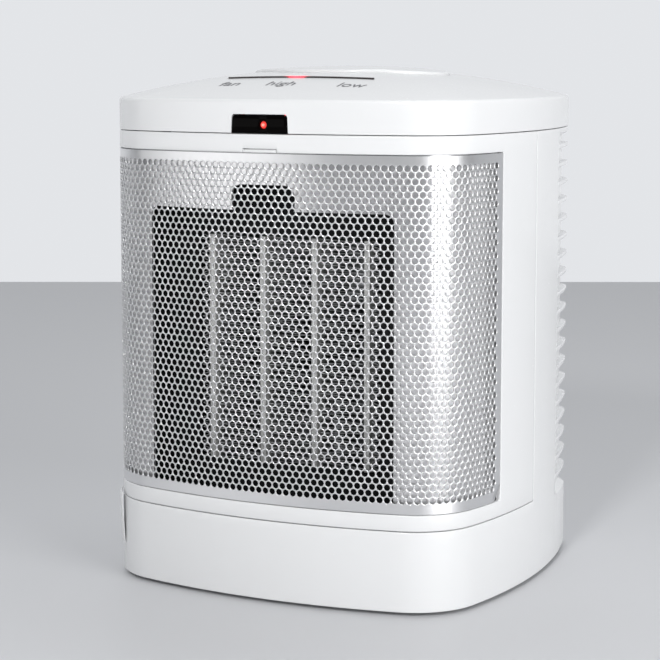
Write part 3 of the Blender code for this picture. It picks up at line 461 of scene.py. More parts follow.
ribs = upright_sheet(
    "louvre_ribs", recess_start + RIB_SHORT, 2 * HALF_ROUND - recess_start - RIB_SHORT,
    TOP_RIB - RIB_THICKNESS / 2, TOP_RIB + RIB_THICKNESS / 2, 150, depth=0.0001,
)
edit(ribs)
bpy.ops.mesh.extrude_region_move(TRANSFORM_OT_translate={"value": (0, WALL, 0)})
leave()
spots = points_of(ribs)
behind = spots[:, 1] > WALL / 2
ways = np.where(spots[:, 0] > HALF_ROUND, spots[:, 0] - 2 * HALF_ROUND, spots[:, 0])
spots[behind, 1] = recess_at(ways[behind]) + 2 * GAP
spots[:, 0] = ways
move_points(ribs, spots)
edit(ribs)
face_out()
leave()
soften(ribs, 0.0005, 2)
repeat(ribs, RIB_COUNT, (0, 0, -RIB_PITCH))
wrap(ribs)
join_solid(rear_housing, ribs, "UNION")
join_solid(rear_housing, rod(GLAND_HOLE, 0.02, (0, FRONT_Y + DEPTH, GLAND_LEVEL)), "DIFFERENCE")
smooth(rear_housing)
dress(rear_housing, white_plastic, "white_plastic", "casing", "rear_housing")

# --- Front housing -------------------------------------------------------------------------------
# The white frame that holds the grille: two side strips joined by a band above and a band below.
# It is moulded in one piece and drops onto the base ring, with a small notch for the grille's clip.
GRILLE_LOW, GRILLE_HIGH, GRILLE_END_DEPTH = 0.0446, 0.1993, 0.0530
NOTCH_HALF, NOTCH_RISE = 0.0084, 0.0017
grille_edge = way_to_depth(GRILLE_END_DEPTH)

front_housing = upright_sheet(
    "front_housing_frame", -parting + GAP / 2, parting - GAP / 2, SEAM_LEVEL + GAP, CAP_LEVEL, 170
)
notch_edge = way_to_x(NOTCH_HALF)
edit(front_housing)
cut_across("x", grille_edge, -grille_edge, notch_edge, -notch_edge)
cut_across("z", GRILLE_LOW, GRILLE_HIGH, GRILLE_HIGH + NOTCH_RISE)
cut_away(lambda spot: abs(spot.x) < grille_edge and GRILLE_LOW < spot.z < GRILLE_HIGH)
cut_away(lambda spot: abs(spot.x) < notch_edge and GRILLE_HIGH < spot.z < GRILLE_HIGH + NOTCH_RISE)
leave()
wrap(front_housing)
thicken(front_housing)
soften(front_housing, 0.0005, 3)
smooth(front_housing)
dress(front_housing, white_plastic, "white_plastic", "casing", "front_housing")

# --- Front baffle --------------------------------------------------------------------------------
# The thin inner wall close behind the grille, moulded and then silvered. It has the warm-air outlet
# in it and a rounded tab-shaped notch above that, where the thermal cut-out feels the air.
BAFFLE_INSET, BAFFLE_THICKNESS, BAFFLE_END_DEPTH = WALL + GAP, 0.0015, 0.0780
OUTLET_HALF, OUTLET_LOW, OUTLET_HIGH = 0.0600, 0.0405, 0.1739
TAB_HALF, TAB_HIGH, OPENING_TOOL = 0.0156, 0.1852, 0.05

baffle_plastic = finish_of(
    "baffle_plastic", (0.75, 0.75, 0.755), (0.69, 0.69, 0.70), (0.16, 0.24), 1600, 0.000004, 0.7
)


def rounded_block(middle, size, along, round_off, segments):
    """A block whose four edges along an axis are rounded."""
    piece = block(middle, size)
    edit(piece)
    axis = "xyz".index(along)
    pick("edges", lambda spot: abs(spot[axis] - middle[axis]) < 0.0001)
    bpy.ops.mesh.bevel(offset=round_off, segments=segments)
    leave()
    return piece


baffle_edge = way_to_depth(BAFFLE_END_DEPTH)
baffle = upright_sheet(
    "front_baffle_wall", -baffle_edge, baffle_edge, SEAM_LEVEL + 2 * GAP, CAP_LEVEL - WALL, 150, 24,
    depth=BAFFLE_INSET,
)
wrap(baffle)
thicken(baffle, BAFFLE_THICKNESS)
for half, low, high, round_off in (
    (OUTLET_HALF, OUTLET_LOW, OUTLET_HIGH, 0.0040),
    (TAB_HALF, OUTLET_HIGH - WALL, TAB_HIGH, 0.0050),
):
    opening = rounded_block(
        (0, FRONT_Y + OPENING_TOOL / 4, (low + high) / 2), (2 * half, OPENING_TOOL, high - low),
        "y", round_off, 6,
    )
    join_solid(baffle, opening, "DIFFERENCE")
smooth(baffle)
dress(baffle, baffle_plastic, "baffle_plastic", "casing", "front_baffle")

# --- Grille --------------------------------------------------------------------------------------
# A silver-coated steel sheet, 0.4 mm thick, punched all over with staggered holes and left plain
# along its top and bottom. It is rolled round both front corners and clipped into the frame.
HOLE_RADIUS, HOLE_PITCH, HOLE_ROW, HOLE_ROWS = 0.00147, 0.00332, 0.00280, 52
HOLE_LIFT, SHEET_MARGIN, SHEET = 0.0003, 0.0040, 0.0004
sheet_edge = way_to_depth(GRILLE_END_DEPTH - 1.5 * GAP)
sheet_low, sheet_high = GRILLE_LOW + GAP, GRILLE_HIGH - GAP
hole_columns = int((2 * sheet_edge - SHEET_MARGIN) / HOLE_PITCH - 0.5)
first_hole = (
    -(hole_columns - 0.5) * HOLE_PITCH / 2,
    0,
    (sheet_low + sheet_high) / 2 + HOLE_LIFT - (HOLE_ROWS - 1) * HOLE_ROW / 2,
)

bpy.ops.object.select_all(action="DESELECT")
bpy.ops.mesh.primitive_circle_add(
    vertices=6, radius=HOLE_PITCH / math.sqrt(3), location=first_hole,
    rotation=(math.radians(90), 0, 0),
)
grille = bpy.context.object
grille.name = grille.data.name = "grille_sheet"
grille.scale.y = HOLE_ROW / (HOLE_PITCH * math.sqrt(3) / 2)
settle(grille)
edit(grille)
bpy.ops.mesh.primitive_circle_add(
    vertices=8, radius=HOLE_RADIUS, location=first_hole, rotation=(math.radians(90), 0, 0)
)
bpy.ops.mesh.select_all(action="SELECT")
bpy.context.tool_settings.mesh_select_mode = (False, True, False)
bpy.ops.mesh.bridge_edge_loops()
bpy.ops.mesh.select_all(action="SELECT")
bpy.ops.mesh.duplicate_move(TRANSFORM_OT_translate={"value": (HOLE_PITCH / 2, 0, HOLE_ROW)})
leave()
repeat(grille, hole_columns, (HOLE_PITCH, 0, 0))
repeat(grille, HOLE_ROWS // 2, (0, 0, 2 * HOLE_ROW))
edit(grille)
bpy.ops.mesh.remove_doubles(threshold=0.00002)
bpy.ops.mesh.select_all(action="DESELECT")
mesh = bmesh.from_edit_mesh(grille.data)
for edge in mesh.edges:
    edge.select_set(len(edge.link_faces) == 1 and edge.calc_length() > 1.1 * HOLE_RADIUS)
bmesh.update_edit_mesh(grille.data)
bpy.ops.mesh.extrude_edges_move()
mesh = bmesh.from_edit_mesh(grille.data)
rim = [corner for corner in mesh.verts if corner.select]
far_left, far_right = min(c.co.x for c in rim), max(c.co.x for c in rim)
lowest, highest = min(c.co.z for c in rim), max(c.co.z for c in rim)
for corner in rim:
    at_low, at_high = corner.co.z < lowest + HOLE_ROW / 2, corner.co.z > highest - HOLE_ROW / 2
    if at_low or at_high:
        corner.co.z = sheet_low if at_low else sheet_high
    if not (at_low or at_high) or not far_left + 0.0001 < corner.co.x < far_right - 0.0001:
        corner.co.x = -sheet_edge if corner.co.x < 0 else sheet_edge
bmesh.update_edit_mesh(grille.data)
face_out()
mesh = bmesh.from_edit_mesh(grille.data)
if sum(face.normal.y for face in mesh.faces) > 0:
    bpy.ops.mesh.flip_normals()
leave()
thicken(grille, SHEET)
edit(grille)
pick(
    "edges",
    lambda spot: abs(abs(spot.x) - sheet_edge) < 0.00001
    or abs(spot.z - sheet_low) < 0.00001
    or abs(spot.z - sheet_high) < 0.00001,
)
bpy.ops.mesh.mark_sharp()
leave()
wrap(grille)
only(grille)
bpy.ops.object.shade_smooth()
grille_steel = finish_of(
    "grille_steel", (0.87, 0.87, 0.875), (0.80, 0.80, 0.81), (0.28, 0.40), 700, 0.000008, 1.0
)
dress(grille, grille_steel, "grille_steel", "casing", "grille")

# --- Grille clip ---------------------------------------------------------------------------------
# The small white lip that snaps over the middle of the grille's top edge. It is moulded on its own
# and sits in the frame's notch.
CLIP_HALF, CLIP_LOW, CLIP_HIGH = 0.0082, GRILLE_HIGH + 0.0001, GRILLE_HIGH + 0.0013
clip_half = way_to_x(CLIP_HALF)
clip = upright_sheet("grille_clip_lip", -clip_half, clip_half, CLIP_LOW, CLIP_HIGH, 12)
wrap(clip)
thicken(clip)
soften(clip, 0.0003, 2)
smooth(clip)
dress(clip, white_plastic, "white_plastic", "casing", "grille_clip")

# --- Top cover -----------------------------------------------------------------------------------
# The domed cap in the same glossy white: a plain skirt, a soft rim and a shallow dome. It has the
# button's oval opening, a straight light slot in front of it and a notch for the dark window.
RIM_LEVEL, DOME_RISE, DOME_POWER, DOME_DEPTH = 0.2225, 0.0125, 2.2, 0.0884
RIM_ROUND = 0.0016
BUTTON_DEPTH, BUTTON_WIDE, BUTTON_DEEP = 0.0928, 0.0475, 0.0376
SLOT_DEPTH, SLOT_HALF, SLOT_HALF_GAP = 0.0392, 0.0370, 0.0011
WINDOW_HALF, WINDOW_HIGH = 0.0137, 0.2155
RING_POINTS = 288

ring_ways = np.linspace(-HALF_ROUND, HALF_ROUND, RING_POINTS, endpoint=False)
dome_edge = np.column_stack(on_casing(ring_ways, RIM_ROUND)) - (0, FRONT_Y + DOME_DEPTH)
edge_turn = np.unwrap(np.arctan2(dome_edge[:, 0], -dome_edge[:, 1]))
edge_reach = np.hypot(*dome_edge.T)


def dome_level(x, y):
    """The dome's level over a point."""
    side, ahead = np.asarray(x), np.asarray(y) - FRONT_Y - DOME_DEPTH
    reach = np.interp(np.arctan2(side, -ahead), edge_turn, edge_reach, period=2 * math.pi)
    share = np.hypot(side, ahead) / reach
    return RIM_LEVEL + DOME_RISE * (1 - np.minimum(share, 1) ** DOME_POWER)


def level_ring(x, y, level):
    return np.column_stack([x, y, np.broadcast_to(level, np.shape(x))])


def casing_ring(inset, level):
    return level_ring(*on_casing(ring_ways, inset), level)


def oval_ring(grow, level, turns=edge_turn):
    """The button's oval, met where lines from the dome's middle cross it."""
    lean = BUTTON_DEPTH - DOME_DEPTH
    wide, deep = BUTTON_WIDE + grow, BUTTON_DEEP + grow
    side, ahead = np.sin(turns), -np.cos(turns)
    a = (side / wide) ** 2 + (ahead / deep) ** 2
    b = -2 * ahead * lean / deep**2
    c = (lean / deep) ** 2 - 1
    reach = (-b + np.sqrt(b * b - 4 * a * c)) / (2 * a)
    return level_ring(side * reach, FRONT_Y + DOME_DEPTH + ahead * reach, level)


def drawn_rings(name, rings, fill=False):
    """A circle whose edge is extruded from ring to ring, each ring drawn to its own line."""
    bpy.ops.object.select_all(action="DESELECT")
    bpy.ops.mesh.primitive_circle_add(vertices=len(rings[0]), radius=0.05, location=(0, 0, 0))
    piece = bpy.context.object
    piece.name = piece.data.name = name
    edit(piece)
    bpy.context.tool_settings.mesh_select_mode = (False, True, False)
    mesh = bmesh.from_edit_mesh(piece.data)
    place = mesh.verts.layers.int.new("place")
    for number, corner in enumerate(mesh.verts):
        corner[place] = number
    for number, ring in enumerate(rings):
        if number:
            bpy.ops.mesh.extrude_edges_move()
        mesh = bmesh.from_edit_mesh(piece.data)
        place = mesh.verts.layers.int["place"]
        for corner in mesh.verts:
            if corner.select:
                corner.co = ring[corner[place]]
        bmesh.update_edit_mesh(piece.data)
    if fill:
        bpy.ops.mesh.edge_face_add()
    face_out()
    leave()
    piece.data.attributes.remove(piece.data.attributes["place"])
    return piece


def turned_out(piece, spot, direction):
    """Flips an open skin whose face nearest a spot doesn't look along a direction."""
    nearest = min(piece.data.polygons, key=lambda face: (face.center - Vector(spot)).length)
    if nearest.normal.dot(Vector(direction)) < 0:
        piece.data.flip_normals()


cap_low = CAP_LEVEL + GAP
rings = [casing_ring(0, cap_low), casing_ring(0, (cap_low + RIM_LEVEL) / 2)]
for turn in np.radians((0, 16, 32, 48, 64, 78)):
    rings.append(
        casing_ring(RIM_ROUND * (1 - math.cos(turn)), RIM_LEVEL - RIM_ROUND * (1 - math.sin(turn)))
    )
for share in (0.97, 0.92, 0.86, 0.80, 0.74, 0.68):
    x, y = (dome_edge * share + (0, FRONT_Y + DOME_DEPTH)).T
    rings.append(level_ring(x, y, dome_level(x, y)))
outer_ring, oval = rings[-1], oval_ring(GAP + 0.0004, 0)
for share in (0.25, 0.5, 0.75, 0.92, 1):
    x, y = (outer_ring + (oval - outer_ring) * share)[:, :2].T
    rings.append(level_ring(x, y, dome_level(x, y)))
lip = rings[-1][:, 2]
rings.append(oval_ring(GAP + 0.0001, lip - 0.0001))
rings.append(oval_ring(GAP, lip - 0.0005))
top_cover = drawn_rings("top_cover_cap", rings)
turned_out(top_cover, (0, FRONT_Y + 0.01, 0.23), (0, 0, 1))
thicken(top_cover)


def window_block(name, half, low, high, depth, thickness):
    """A plate on the cap's front, a little narrower at its top and with rounded top corners."""
    piece = upright_sheet(name, -half, half, low, high, 14, depth=depth)
    edit(piece)
    bpy.ops.mesh.extrude_region_move(TRANSFORM_OT_translate={"value": (0, thickness, 0)})
    face_out()
    pick("verts", lambda spot: spot.z > high - 0.0001)
    bpy.ops.transform.resize(value=(0.965, 1, 1), center_override=(0, 0, high))
    pick("edges", lambda spot: spot.z > high - 0.0001 and abs(spot.x) > half * 0.96)
    bpy.ops.mesh.bevel(offset=0.0014, segments=6)
    leave()
    wrap(piece)
    return piece


window_notch = window_block(
    "window_notch", WINDOW_HALF + GAP, CAP_LEVEL - WALL, WINDOW_HIGH + GAP, -WALL, 3 * WALL
)
light_slot = rounded_block(
    (0, FRONT_Y + SLOT_DEPTH, RIM_LEVEL), (2 * SLOT_HALF, 2 * SLOT_HALF_GAP, 0.03), "z", 0.0009, 5
)
for opening in (window_notch, light_slot):
    join_solid(top_cover, opening, "DIFFERENCE")
smooth(top_cover, 30)
dress(top_cover, white_plastic, "white_plastic", "casing", "top_cover")

# --- Printed words -------------------------------------------------------------------------------
# Dark grey words in front of the slot, one for each mode lamp. They are pad-printed, and the ink
# stands just under a tenth of a millimetre proud.
WORD_DEPTH, WORD_SIZE, WORD_TALL, WORD_INK = 0.0220, 0.0088, 1.2, 0.00006
ink = finish_of("print_ink", (0.12, 0.12, 0.13), (0.16, 0.16, 0.17), (0.45, 0.6), 2500, 0.000002)
for word, x in (("fan", -0.0275), ("high", -0.0018), ("low", 0.0325)):
    bpy.ops.object.select_all(action="DESELECT")
    bpy.ops.object.text_add(location=(0, 0, 0))
    print_piece = bpy.context.object
    print_piece.data.body = word
    print_piece.data.size = WORD_SIZE
    print_piece.data.align_x = "CENTER"
    print_piece.data.extrude = WORD_INK / 2
    bpy.ops.object.convert(target="MESH")
    print_piece = bpy.context.object
    print_piece.name = print_piece.data.name = f"printed_word_{word}"
    print_piece.location = (x, FRONT_Y + WORD_DEPTH, 0)
    print_piece.scale.y = WORD_TALL
    settle(print_piece)
    edit(print_piece)
    bpy.ops.mesh.remove_doubles(threshold=0.000005)
    leave()
    spots = points_of(print_piece)
    spots[:, 2] += dome_level(spots[:, 0], spots[:, 1]) + WORD_INK
    move_points(print_piece, spots)
    dress(print_piece, ink, "black_plastic", "casing")

# --- Control button ------------------------------------------------------------------------------
# The large oval push button: a crowned shell in the same white, whose softly rounded edge follows
# the dome, with a stem under its middle that works the switch.
BUTTON_SKIRT, BUTTON_PROUD, BUTTON_TOP, BUTTON_ROUND = 0.2262, 0.0013, 0.2364, 0.0009
STEM_LOW, STEM_HIGH, STEM_RADIUS = 0.2198, BUTTON_TOP - WALL / 2, 0.0040
rings = [oval_ring(0, BUTTON_SKIRT)]
for turn in np.radians((-60, 0, 22, 45, 66, 84)):
    ring = oval_ring(-BUTTON_ROUND * (1 - math.cos(max(turn, 0))), 0)
    ring[:, 2] = dome_level(*ring[:, :2].T) + BUTTON_PROUD - BUTTON_ROUND * (1 - math.sin(turn))
    rings.append(ring)
rim, middle = rings[-1], np.array([0, FRONT_Y + BUTTON_DEPTH, BUTTON_TOP])
for share in (0.96, 0.9, 0.8, 0.68, 0.54, 0.38, 0.2, 0.04):
    rings.append(middle + (rim - middle) * (share, share, share**2))
button = drawn_rings("control_button_cap", rings, fill=True)
turned_out(button, (0, FRONT_Y + BUTTON_DEPTH, BUTTON_TOP), (0, 0, 1))
thicken(button)
stem_middle = (0, FRONT_Y + BUTTON_DEPTH, (STEM_LOW + STEM_HIGH) / 2)
join_solid(button, rod(STEM_RADIUS, STEM_HIGH - STEM_LOW, stem_middle, lying=False), "UNION")
smooth(button)
dress(button, white_plastic, "white_plastic", "button", "control_button")

# --- Indicator window and light ------------------------------------------------------------------
# A polished dark window set flush in the cap's front, with its top corners rounded, and a red lamp
# lens that stands in its round hole.
LAMP_X, LAMP_LEVEL, LAMP_RADIUS = 0.0018, 0.2113, 0.00175
smoked_lens = finish_of(
    "smoked_lens", (0.0015, 0.0012, 0.0012), (0.0022, 0.0018, 0.0018), (0.03, 0.07), 400, 0.000001
)
smoked_lens.node_tree.nodes["Principled BSDF"].inputs["Specular IOR Level"].default_value = 0.03
window = window_block(
    "indicator_window_lens", WINDOW_HALF, CAP_LEVEL + GAP, WINDOW_HIGH, 0.0002, WALL - 0.0002
)
lamp_tip = (LAMP_X, FRONT_Y, LAMP_LEVEL)
join_solid(window, rod(LAMP_RADIUS + 0.0001, 0.02, lamp_tip, points=40), "DIFFERENCE")
soften(window, 0.00025, 2)
smooth(window)
dress(window, smoked_lens, "smoked_lens", "casing", "indicator_window")


def glowing(name, middle, reach, hot, warm, dim, power, stretch=(1, 1, 1)):
    """A lit lens: hottest at one spot and falling away around it."""
    finish = bpy.data.materials.new(name)
    finish.use_nodes = True
    nodes, links = finish.node_tree.nodes, finish.node_tree.links
    shader = nodes["Principled BSDF"]
    shader.inputs["Roughness"].default_value = 0.15
    shader.inputs["Emission Strength"].default_value = power
    place = nodes.new("ShaderNodeTexCoord")
    away = nodes.new("ShaderNodeVectorMath")
    away.operation = "DISTANCE"
    away.inputs[1].default_value = np.multiply(middle, stretch)
    spread = nodes.new("ShaderNodeVectorMath")
    spread.operation = "MULTIPLY"
    spread.inputs[1].default_value = stretch
    fall = nodes.new("ShaderNodeMapRange")
    fall.inputs["From Max"].default_value = reach
    ramp = nodes.new("ShaderNodeValToRGB")
    stops = ramp.color_ramp.elements
    stops[0].color, stops[1].color = (*hot, 1), (*dim, 1)
    stops[1].position = 1
    stops.new(0.4).color = (*warm, 1)
    links.new(place.outputs["Object"], spread.inputs[0])
    links.new(spread.outputs["Vector"], away.inputs[0])
    links.new(away.outputs["Value"], fall.inputs["Value"])
    links.new(fall.outputs["Result"], ramp.inputs["Fac"])
    links.new(ramp.outputs["Color"], shader.inputs["Emission Color"])
    links.new(ramp.outputs["Color"], shader.inputs["Base Color"])
    return finish


def turned(name, profile, middle, axis, points=64, fill=True):
    """A lathe-turned piece: a profile of radius and distance along the axis, spun round it."""
    turns = np.linspace(0, 2 * math.pi, points, endpoint=False)
    rings = []
    for radius, along in profile:
        flat = (radius * np.cos(turns), radius * np.sin(turns), np.full(points, along))
        order = (0, 2, 1) if axis == "y" else (0, 1, 2)
        rings.append(np.column_stack([flat[i] for i in order]) + middle)
    if fill:
        piece = drawn_rings(name, rings, fill=True)
        close_end(piece)
        return piece
    piece = drawn_rings(name, rings + rings[:1])
    edit(piece)
    bpy.ops.mesh.remove_doubles(threshold=0.000001)
    face_out()
    leave()
    return piece


lamp_lens = turned(
    "indicator_light_lens",
    [
        (0.00025, 0.00022), (0.0008, 0.0004), (0.0013, 0.0008), (0.0016, 0.0013),
        (LAMP_RADIUS, 0.0019), (LAMP_RADIUS, 0.0080),
    ],
    lamp_tip, "y", 40,
)
smooth(lamp_lens, 60)
red_lens = glowing(
    "red_lens", (LAMP_X, FRONT_Y + 0.0003, LAMP_LEVEL), 0.0022,
    (0.95, 0.30, 0.24), (0.75, 0.05, 0.04), (0.30, 0.01, 0.01), 1.2,
)
dress(lamp_lens, red_lens, "red_lens", "casing", "indicator_light")

# --- Mode lights and light bar -------------------------------------------------------------------
# Three small lamps on the board, and over them a dark translucent bar that fills the cap's slot.
# The middle lamp is lit, so the bar glows above it.
BAR_PROUD, BAR_CROWN, BAR_THICKNESS = 0.0006, 0.00012, 0.0040
BAR_GLOW_X, BAR_GLOW_LEVEL, BAR_GLOW_REACH = -0.0015, 0.2317, 0.0080
bar_half, bar_width, bar_y = SLOT_HALF - GAP, 2 * (SLOT_HALF_GAP - GAP), FRONT_Y + SLOT_DEPTH
bpy.ops.object.select_all(action="DESELECT")
bpy.ops.mesh.primitive_grid_add(
    x_subdivisions=48, y_subdivisions=4, size=1, location=(0, bar_y, 0)
)
light_bar = bpy.context.object
light_bar.name = light_bar.data.name = "light_bar_lens"
light_bar.scale = (2 * bar_half, bar_width, 1)
settle(light_bar)
spots = points_of(light_bar)
off = np.abs(spots[:, 0]) - (bar_half - bar_width / 2)
taper = np.sqrt(np.clip(1 - (np.clip(off, 0, None) / (bar_width / 2)) ** 2, 0.04, 1))
spots[:, 1] = bar_y + (spots[:, 1] - bar_y) * taper
edge_drop = BAR_CROWN * (2 * (spots[:, 1] - bar_y) / bar_width) ** 2
spots[:, 2] = dome_level(spots[:, 0], spots[:, 1]) + BAR_PROUD - edge_drop
move_points(light_bar, spots)
modify(light_bar, "SOLIDIFY", thickness=BAR_THICKNESS, offset=-1)
soften(light_bar, 0.00015, 2, 60)
smooth(light_bar)
light_bar_finish = glowing(
    "lit_smoked_bar", (BAR_GLOW_X, bar_y + bar_width / 2, BAR_GLOW_LEVEL), BAR_GLOW_REACH,
    (1.0, 0.35, 0.38), (0.85, 0.05, 0.08), (0.004, 0.003, 0.003), 6, (1, 5, 2),
)
dress(light_bar, light_bar_finish, "smoked_lens", "casing", "light_bar")
lit_lamp = glowing(
    "lit_lamp", (-0.0060, bar_y, 0.2165), 0.0060,
    (1.0, 0.40, 0.30), (0.85, 0.04, 0.03), (0.4, 0.01, 0.01), 4,
)
dark_lamp = finish_of(
    "unlit_lamp", (0.42, 0.03, 0.025), (0.36, 0.02, 0.02), (0.12, 0.2), 900, 0.000002
)


def refinish(finish, *nodes):
    """Gives CAD nodes that are kept as they are a better finish."""
    for node in nodes:
        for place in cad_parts[node].material_slots:
            place.material = finish


refinish(lit_lamp, "mode_light_high")
refinish(dark_lamp, "mode_light_left", "mode_light_low")

# --- Board, switch and spring --------------------------------------------------------------------
# The glass-fibre board under the cap, green with paler copper tracks under its mask, and on it the
# push switch that the button's stem works. A zinc-plated coil spring lifts the button.
board_finish = finish_of(
    "board_mask", (0.030, 0.16, 0.075), (0.045, 0.24, 0.11), (0.3, 0.45), 900, 0.00001
)
nodes, links = board_finish.node_tree.nodes, board_finish.node_tree.links
tracks = nodes.new("ShaderNodeTexBrick")
tracks.inputs["Scale"].default_value = 160
tracks.inputs["Mortar Size"].default_value = 0.06
tracks.inputs["Color1"].default_value = (0.022, 0.13, 0.06, 1)
tracks.inputs["Color2"].default_value = (0.028, 0.16, 0.07, 1)
tracks.inputs["Mortar"].default_value = (0.07, 0.30, 0.13, 1)
mapping = next(node for node in nodes if node.type == "MAPPING")
links.new(mapping.outputs["Vector"], tracks.inputs["Vector"])
links.new(tracks.outputs["Color"], nodes["Principled BSDF"].inputs["Base Color"])
black_plastic = finish_of(
    "black_plastic", (0.006, 0.006, 0.0065), (0.010, 0.010, 0.0105), (0.45, 0.62), 1400, 0.00002
)
black_plastic.node_tree.nodes["Principled BSDF"].inputs["Specular IOR Level"].default_value = 0.2
zinc_steel = finish_of(
    "zinc_steel", (0.62, 0.63, 0.64), (0.50, 0.51, 0.53), (0.28, 0.45), 500, 0.000006, 1.0,
    patch=160,
)
refinish(board_finish, "control_board")
refinish(black_plastic, "switch_body")
refinish(white_plastic, "switch_plunger")
refinish(zinc_steel, "button_spring")

# --- Outlet duct and heater frame ----------------------------------------------------------------
# The heat-resistant duct behind the outlet, and in it the frame that carries the core. Both are
# moulded in matt black.
refinish(black_plastic, "outlet_duct", "heater_frame")

# --- Ceramic core --------------------------------------------------------------------------------
# Four upright bars, each a flat aluminium tube pressed round its ceramic stones, and between and
# beside them five packs of fins, each one thin strip folded to and fro and bonded to the bars.
# Brass terminals feed the core, and a steel-cased thermal cut-out guards it.
BAR_ROUND, FIN_FOLD, FIN_SHEET, FOLD_ROUND = 0.0008, 0.0022, 0.00016, 0.00035
bar_finish = finish_of(
    "bar_aluminium", (0.80, 0.80, 0.78), (0.66, 0.66, 0.65), (0.35, 0.5), 1100, 0.00002, 0.55,
    (3, 3, 0.15),
)
# The fins are toned darker than bare aluminium: painted shade for the dark inside of the heater
# seen through the grille.
fin_aluminium = finish_of(
    "fin_aluminium", (0.56, 0.56, 0.57), (0.42, 0.42, 0.43), (0.25, 0.4), 900, 0.000008, 1.0,
    (1, 0.2, 1),
)
for number in range(1, 5):
    low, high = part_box(f"heater_bar_{number}")
    bar = block((low + high) / 2, high - low)
    bar.name = bar.data.name = f"heater_bar_tube_{number}"
    edit(bar)
    pick("faces", lambda spot: min(abs(spot.z - low.z), abs(spot.z - high.z)) < 0.0001)
    bpy.ops.mesh.inset(thickness=BAR_ROUND, depth=-BAR_ROUND)
    leave()
    soften(bar, BAR_ROUND * 0.6, 3)
    smooth(bar)
    dress(bar, bar_finish, "heater_bar", "casing", f"heater_bar_{number}")

for number in range(1, 6):
    low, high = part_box(f"fin_pack_{number}")
    folds = int((high.z - low.z) / FIN_FOLD)
    fold = (high.z - low.z) / folds
    bpy.ops.object.select_all(action="DESELECT")
    bpy.ops.mesh.primitive_grid_add(
        x_subdivisions=2, y_subdivisions=1, size=1,
        location=((low.x + high.x) / 2, (low.y + high.y) / 2, low.z + fold / 2),
    )
    fins = bpy.context.object
    fins.name = fins.data.name = f"fin_pack_strip_{number}"
    fins.scale = (high.x - low.x, high.y - low.y, 1)
    settle(fins)
    edit(fins)
    mesh = bmesh.from_edit_mesh(fins.data)
    columns = sorted({round(corner.co.x, 6) for corner in mesh.verts})
    for corner in mesh.verts:
        step = columns.index(round(corner.co.x, 6))
        corner.co.x = (low.x, high.x, low.x)[step]
        corner.co.z = low.z + fold * step / 2
    bmesh.update_edit_mesh(fins.data)
    leave()
    repeat(fins, folds, (0, 0, fold), use_merge_vertices=True, merge_threshold=0.00001)
    edit(fins)
    pick("edges", lambda spot: abs(spot.y - (low.y + high.y) / 2) < 0.0001)
    bpy.ops.mesh.bevel(offset=FOLD_ROUND, segments=3)
    leave()
    modify(fins, "SOLIDIFY", thickness=FIN_SHEET, offset=0)
    smooth(fins, 60)
    dress(fins, fin_aluminium, "fin_aluminium", "casing", f"fin_pack_{number}")

terminal_brass = finish_of(
    "terminal_brass", (0.76, 0.60, 0.30), (0.62, 0.47, 0.22), (0.25, 0.42), 700, 0.000006, 1.0
)
refinish(terminal_brass, "heater_terminal_left", "heater_terminal_right")
refinish(zinc_steel, "thermal_cutout")

# --- Fan and motor -------------------------------------------------------------------------------
# A moulded axial wheel with seven swept blades on the shaft of a small steel-cased motor, which
# runs in two bronze bushes. The shroud's ring carries the motor on a bracket.
FAN_LEVEL, HUB_RADIUS, FAN_RADIUS, BLADES = 0.1125, 0.0160, 0.0510, 7
FAN_FRONT, FAN_BACK, BLADE_SHEET, BORE = 0.0600, 0.0770, 0.0016, 0.0018
fan_middle = Vector((0, FRONT_Y + (FAN_FRONT + FAN_BACK) / 2, FAN_LEVEL))
wheel_half = (FAN_BACK - FAN_FRONT) / 2
fan_plastic = finish_of(
    "fan_plastic", (0.022, 0.023, 0.025), (0.040, 0.041, 0.044), (0.30, 0.46), 1200, 0.00001
)
wheel = turned(
    "fan_wheel_moulding",
    [
        (BORE, -wheel_half + 0.0025), (0.0050, -wheel_half + 0.0008), (0.0100, -wheel_half),
        (0.0138, -wheel_half + 0.0004), (0.0154, -wheel_half + 0.0016),
        (HUB_RADIUS, -wheel_half + 0.0034),
        (HUB_RADIUS, wheel_half), (0.0142, wheel_half), (0.0142, wheel_half - 0.0110),
        (0.0045, wheel_half - 0.0110), (0.0045, wheel_half), (BORE, wheel_half),
    ],
    fan_middle, "y", 96, fill=False,
)
for number in range(BLADES):
    bpy.ops.object.select_all(action="DESELECT")
    bpy.ops.mesh.primitive_grid_add(x_subdivisions=10, y_subdivisions=12, size=1)
    blade = bpy.context.object
    spots = points_of(blade)
    along, out = spots[:, 0].copy(), spots[:, 1] + 0.5
    radius = HUB_RADIUS - 0.0012 + (FAN_RADIUS - HUB_RADIUS + 0.0010) * out
    slant = np.radians(52 - 22 * out)
    chord = np.minimum(0.0150 + 0.0120 * out, 0.0142 / np.sin(slant))
    camber = 0.0016 * (1 - 4 * along**2)
    across = chord * along * np.cos(slant) - camber * np.sin(slant)
    back = chord * along * np.sin(slant) + camber * np.cos(slant)
    lean = across / np.maximum(radius, 0.02) + 0.16 * out**2
    turn = 2 * math.pi * number / BLADES + lean
    radius = np.minimum(radius, FAN_RADIUS - 0.0008 * (2 * along) ** 4)
    spots = np.column_stack([radius * np.sin(turn), back, radius * np.cos(turn)]) + fan_middle
    move_points(blade, spots)
    modify(blade, "SOLIDIFY", thickness=BLADE_SHEET, offset=0)
    soften(blade, 0.0004, 2, 60)
    join_solid(wheel, blade, "UNION")
smooth(wheel, 40)
dress(wheel, fan_plastic, "black_plastic", "rotor", "fan_wheel")

refinish(zinc_steel, "motor_shaft")
refinish(black_plastic, "fan_shroud", "motor_bracket")
bush_bronze = finish_of(
    "bush_bronze", (0.55, 0.37, 0.20), (0.42, 0.27, 0.14), (0.35, 0.55), 1600, 0.00001, 1.0
)
refinish(bush_bronze, "front_bush", "rear_bush")

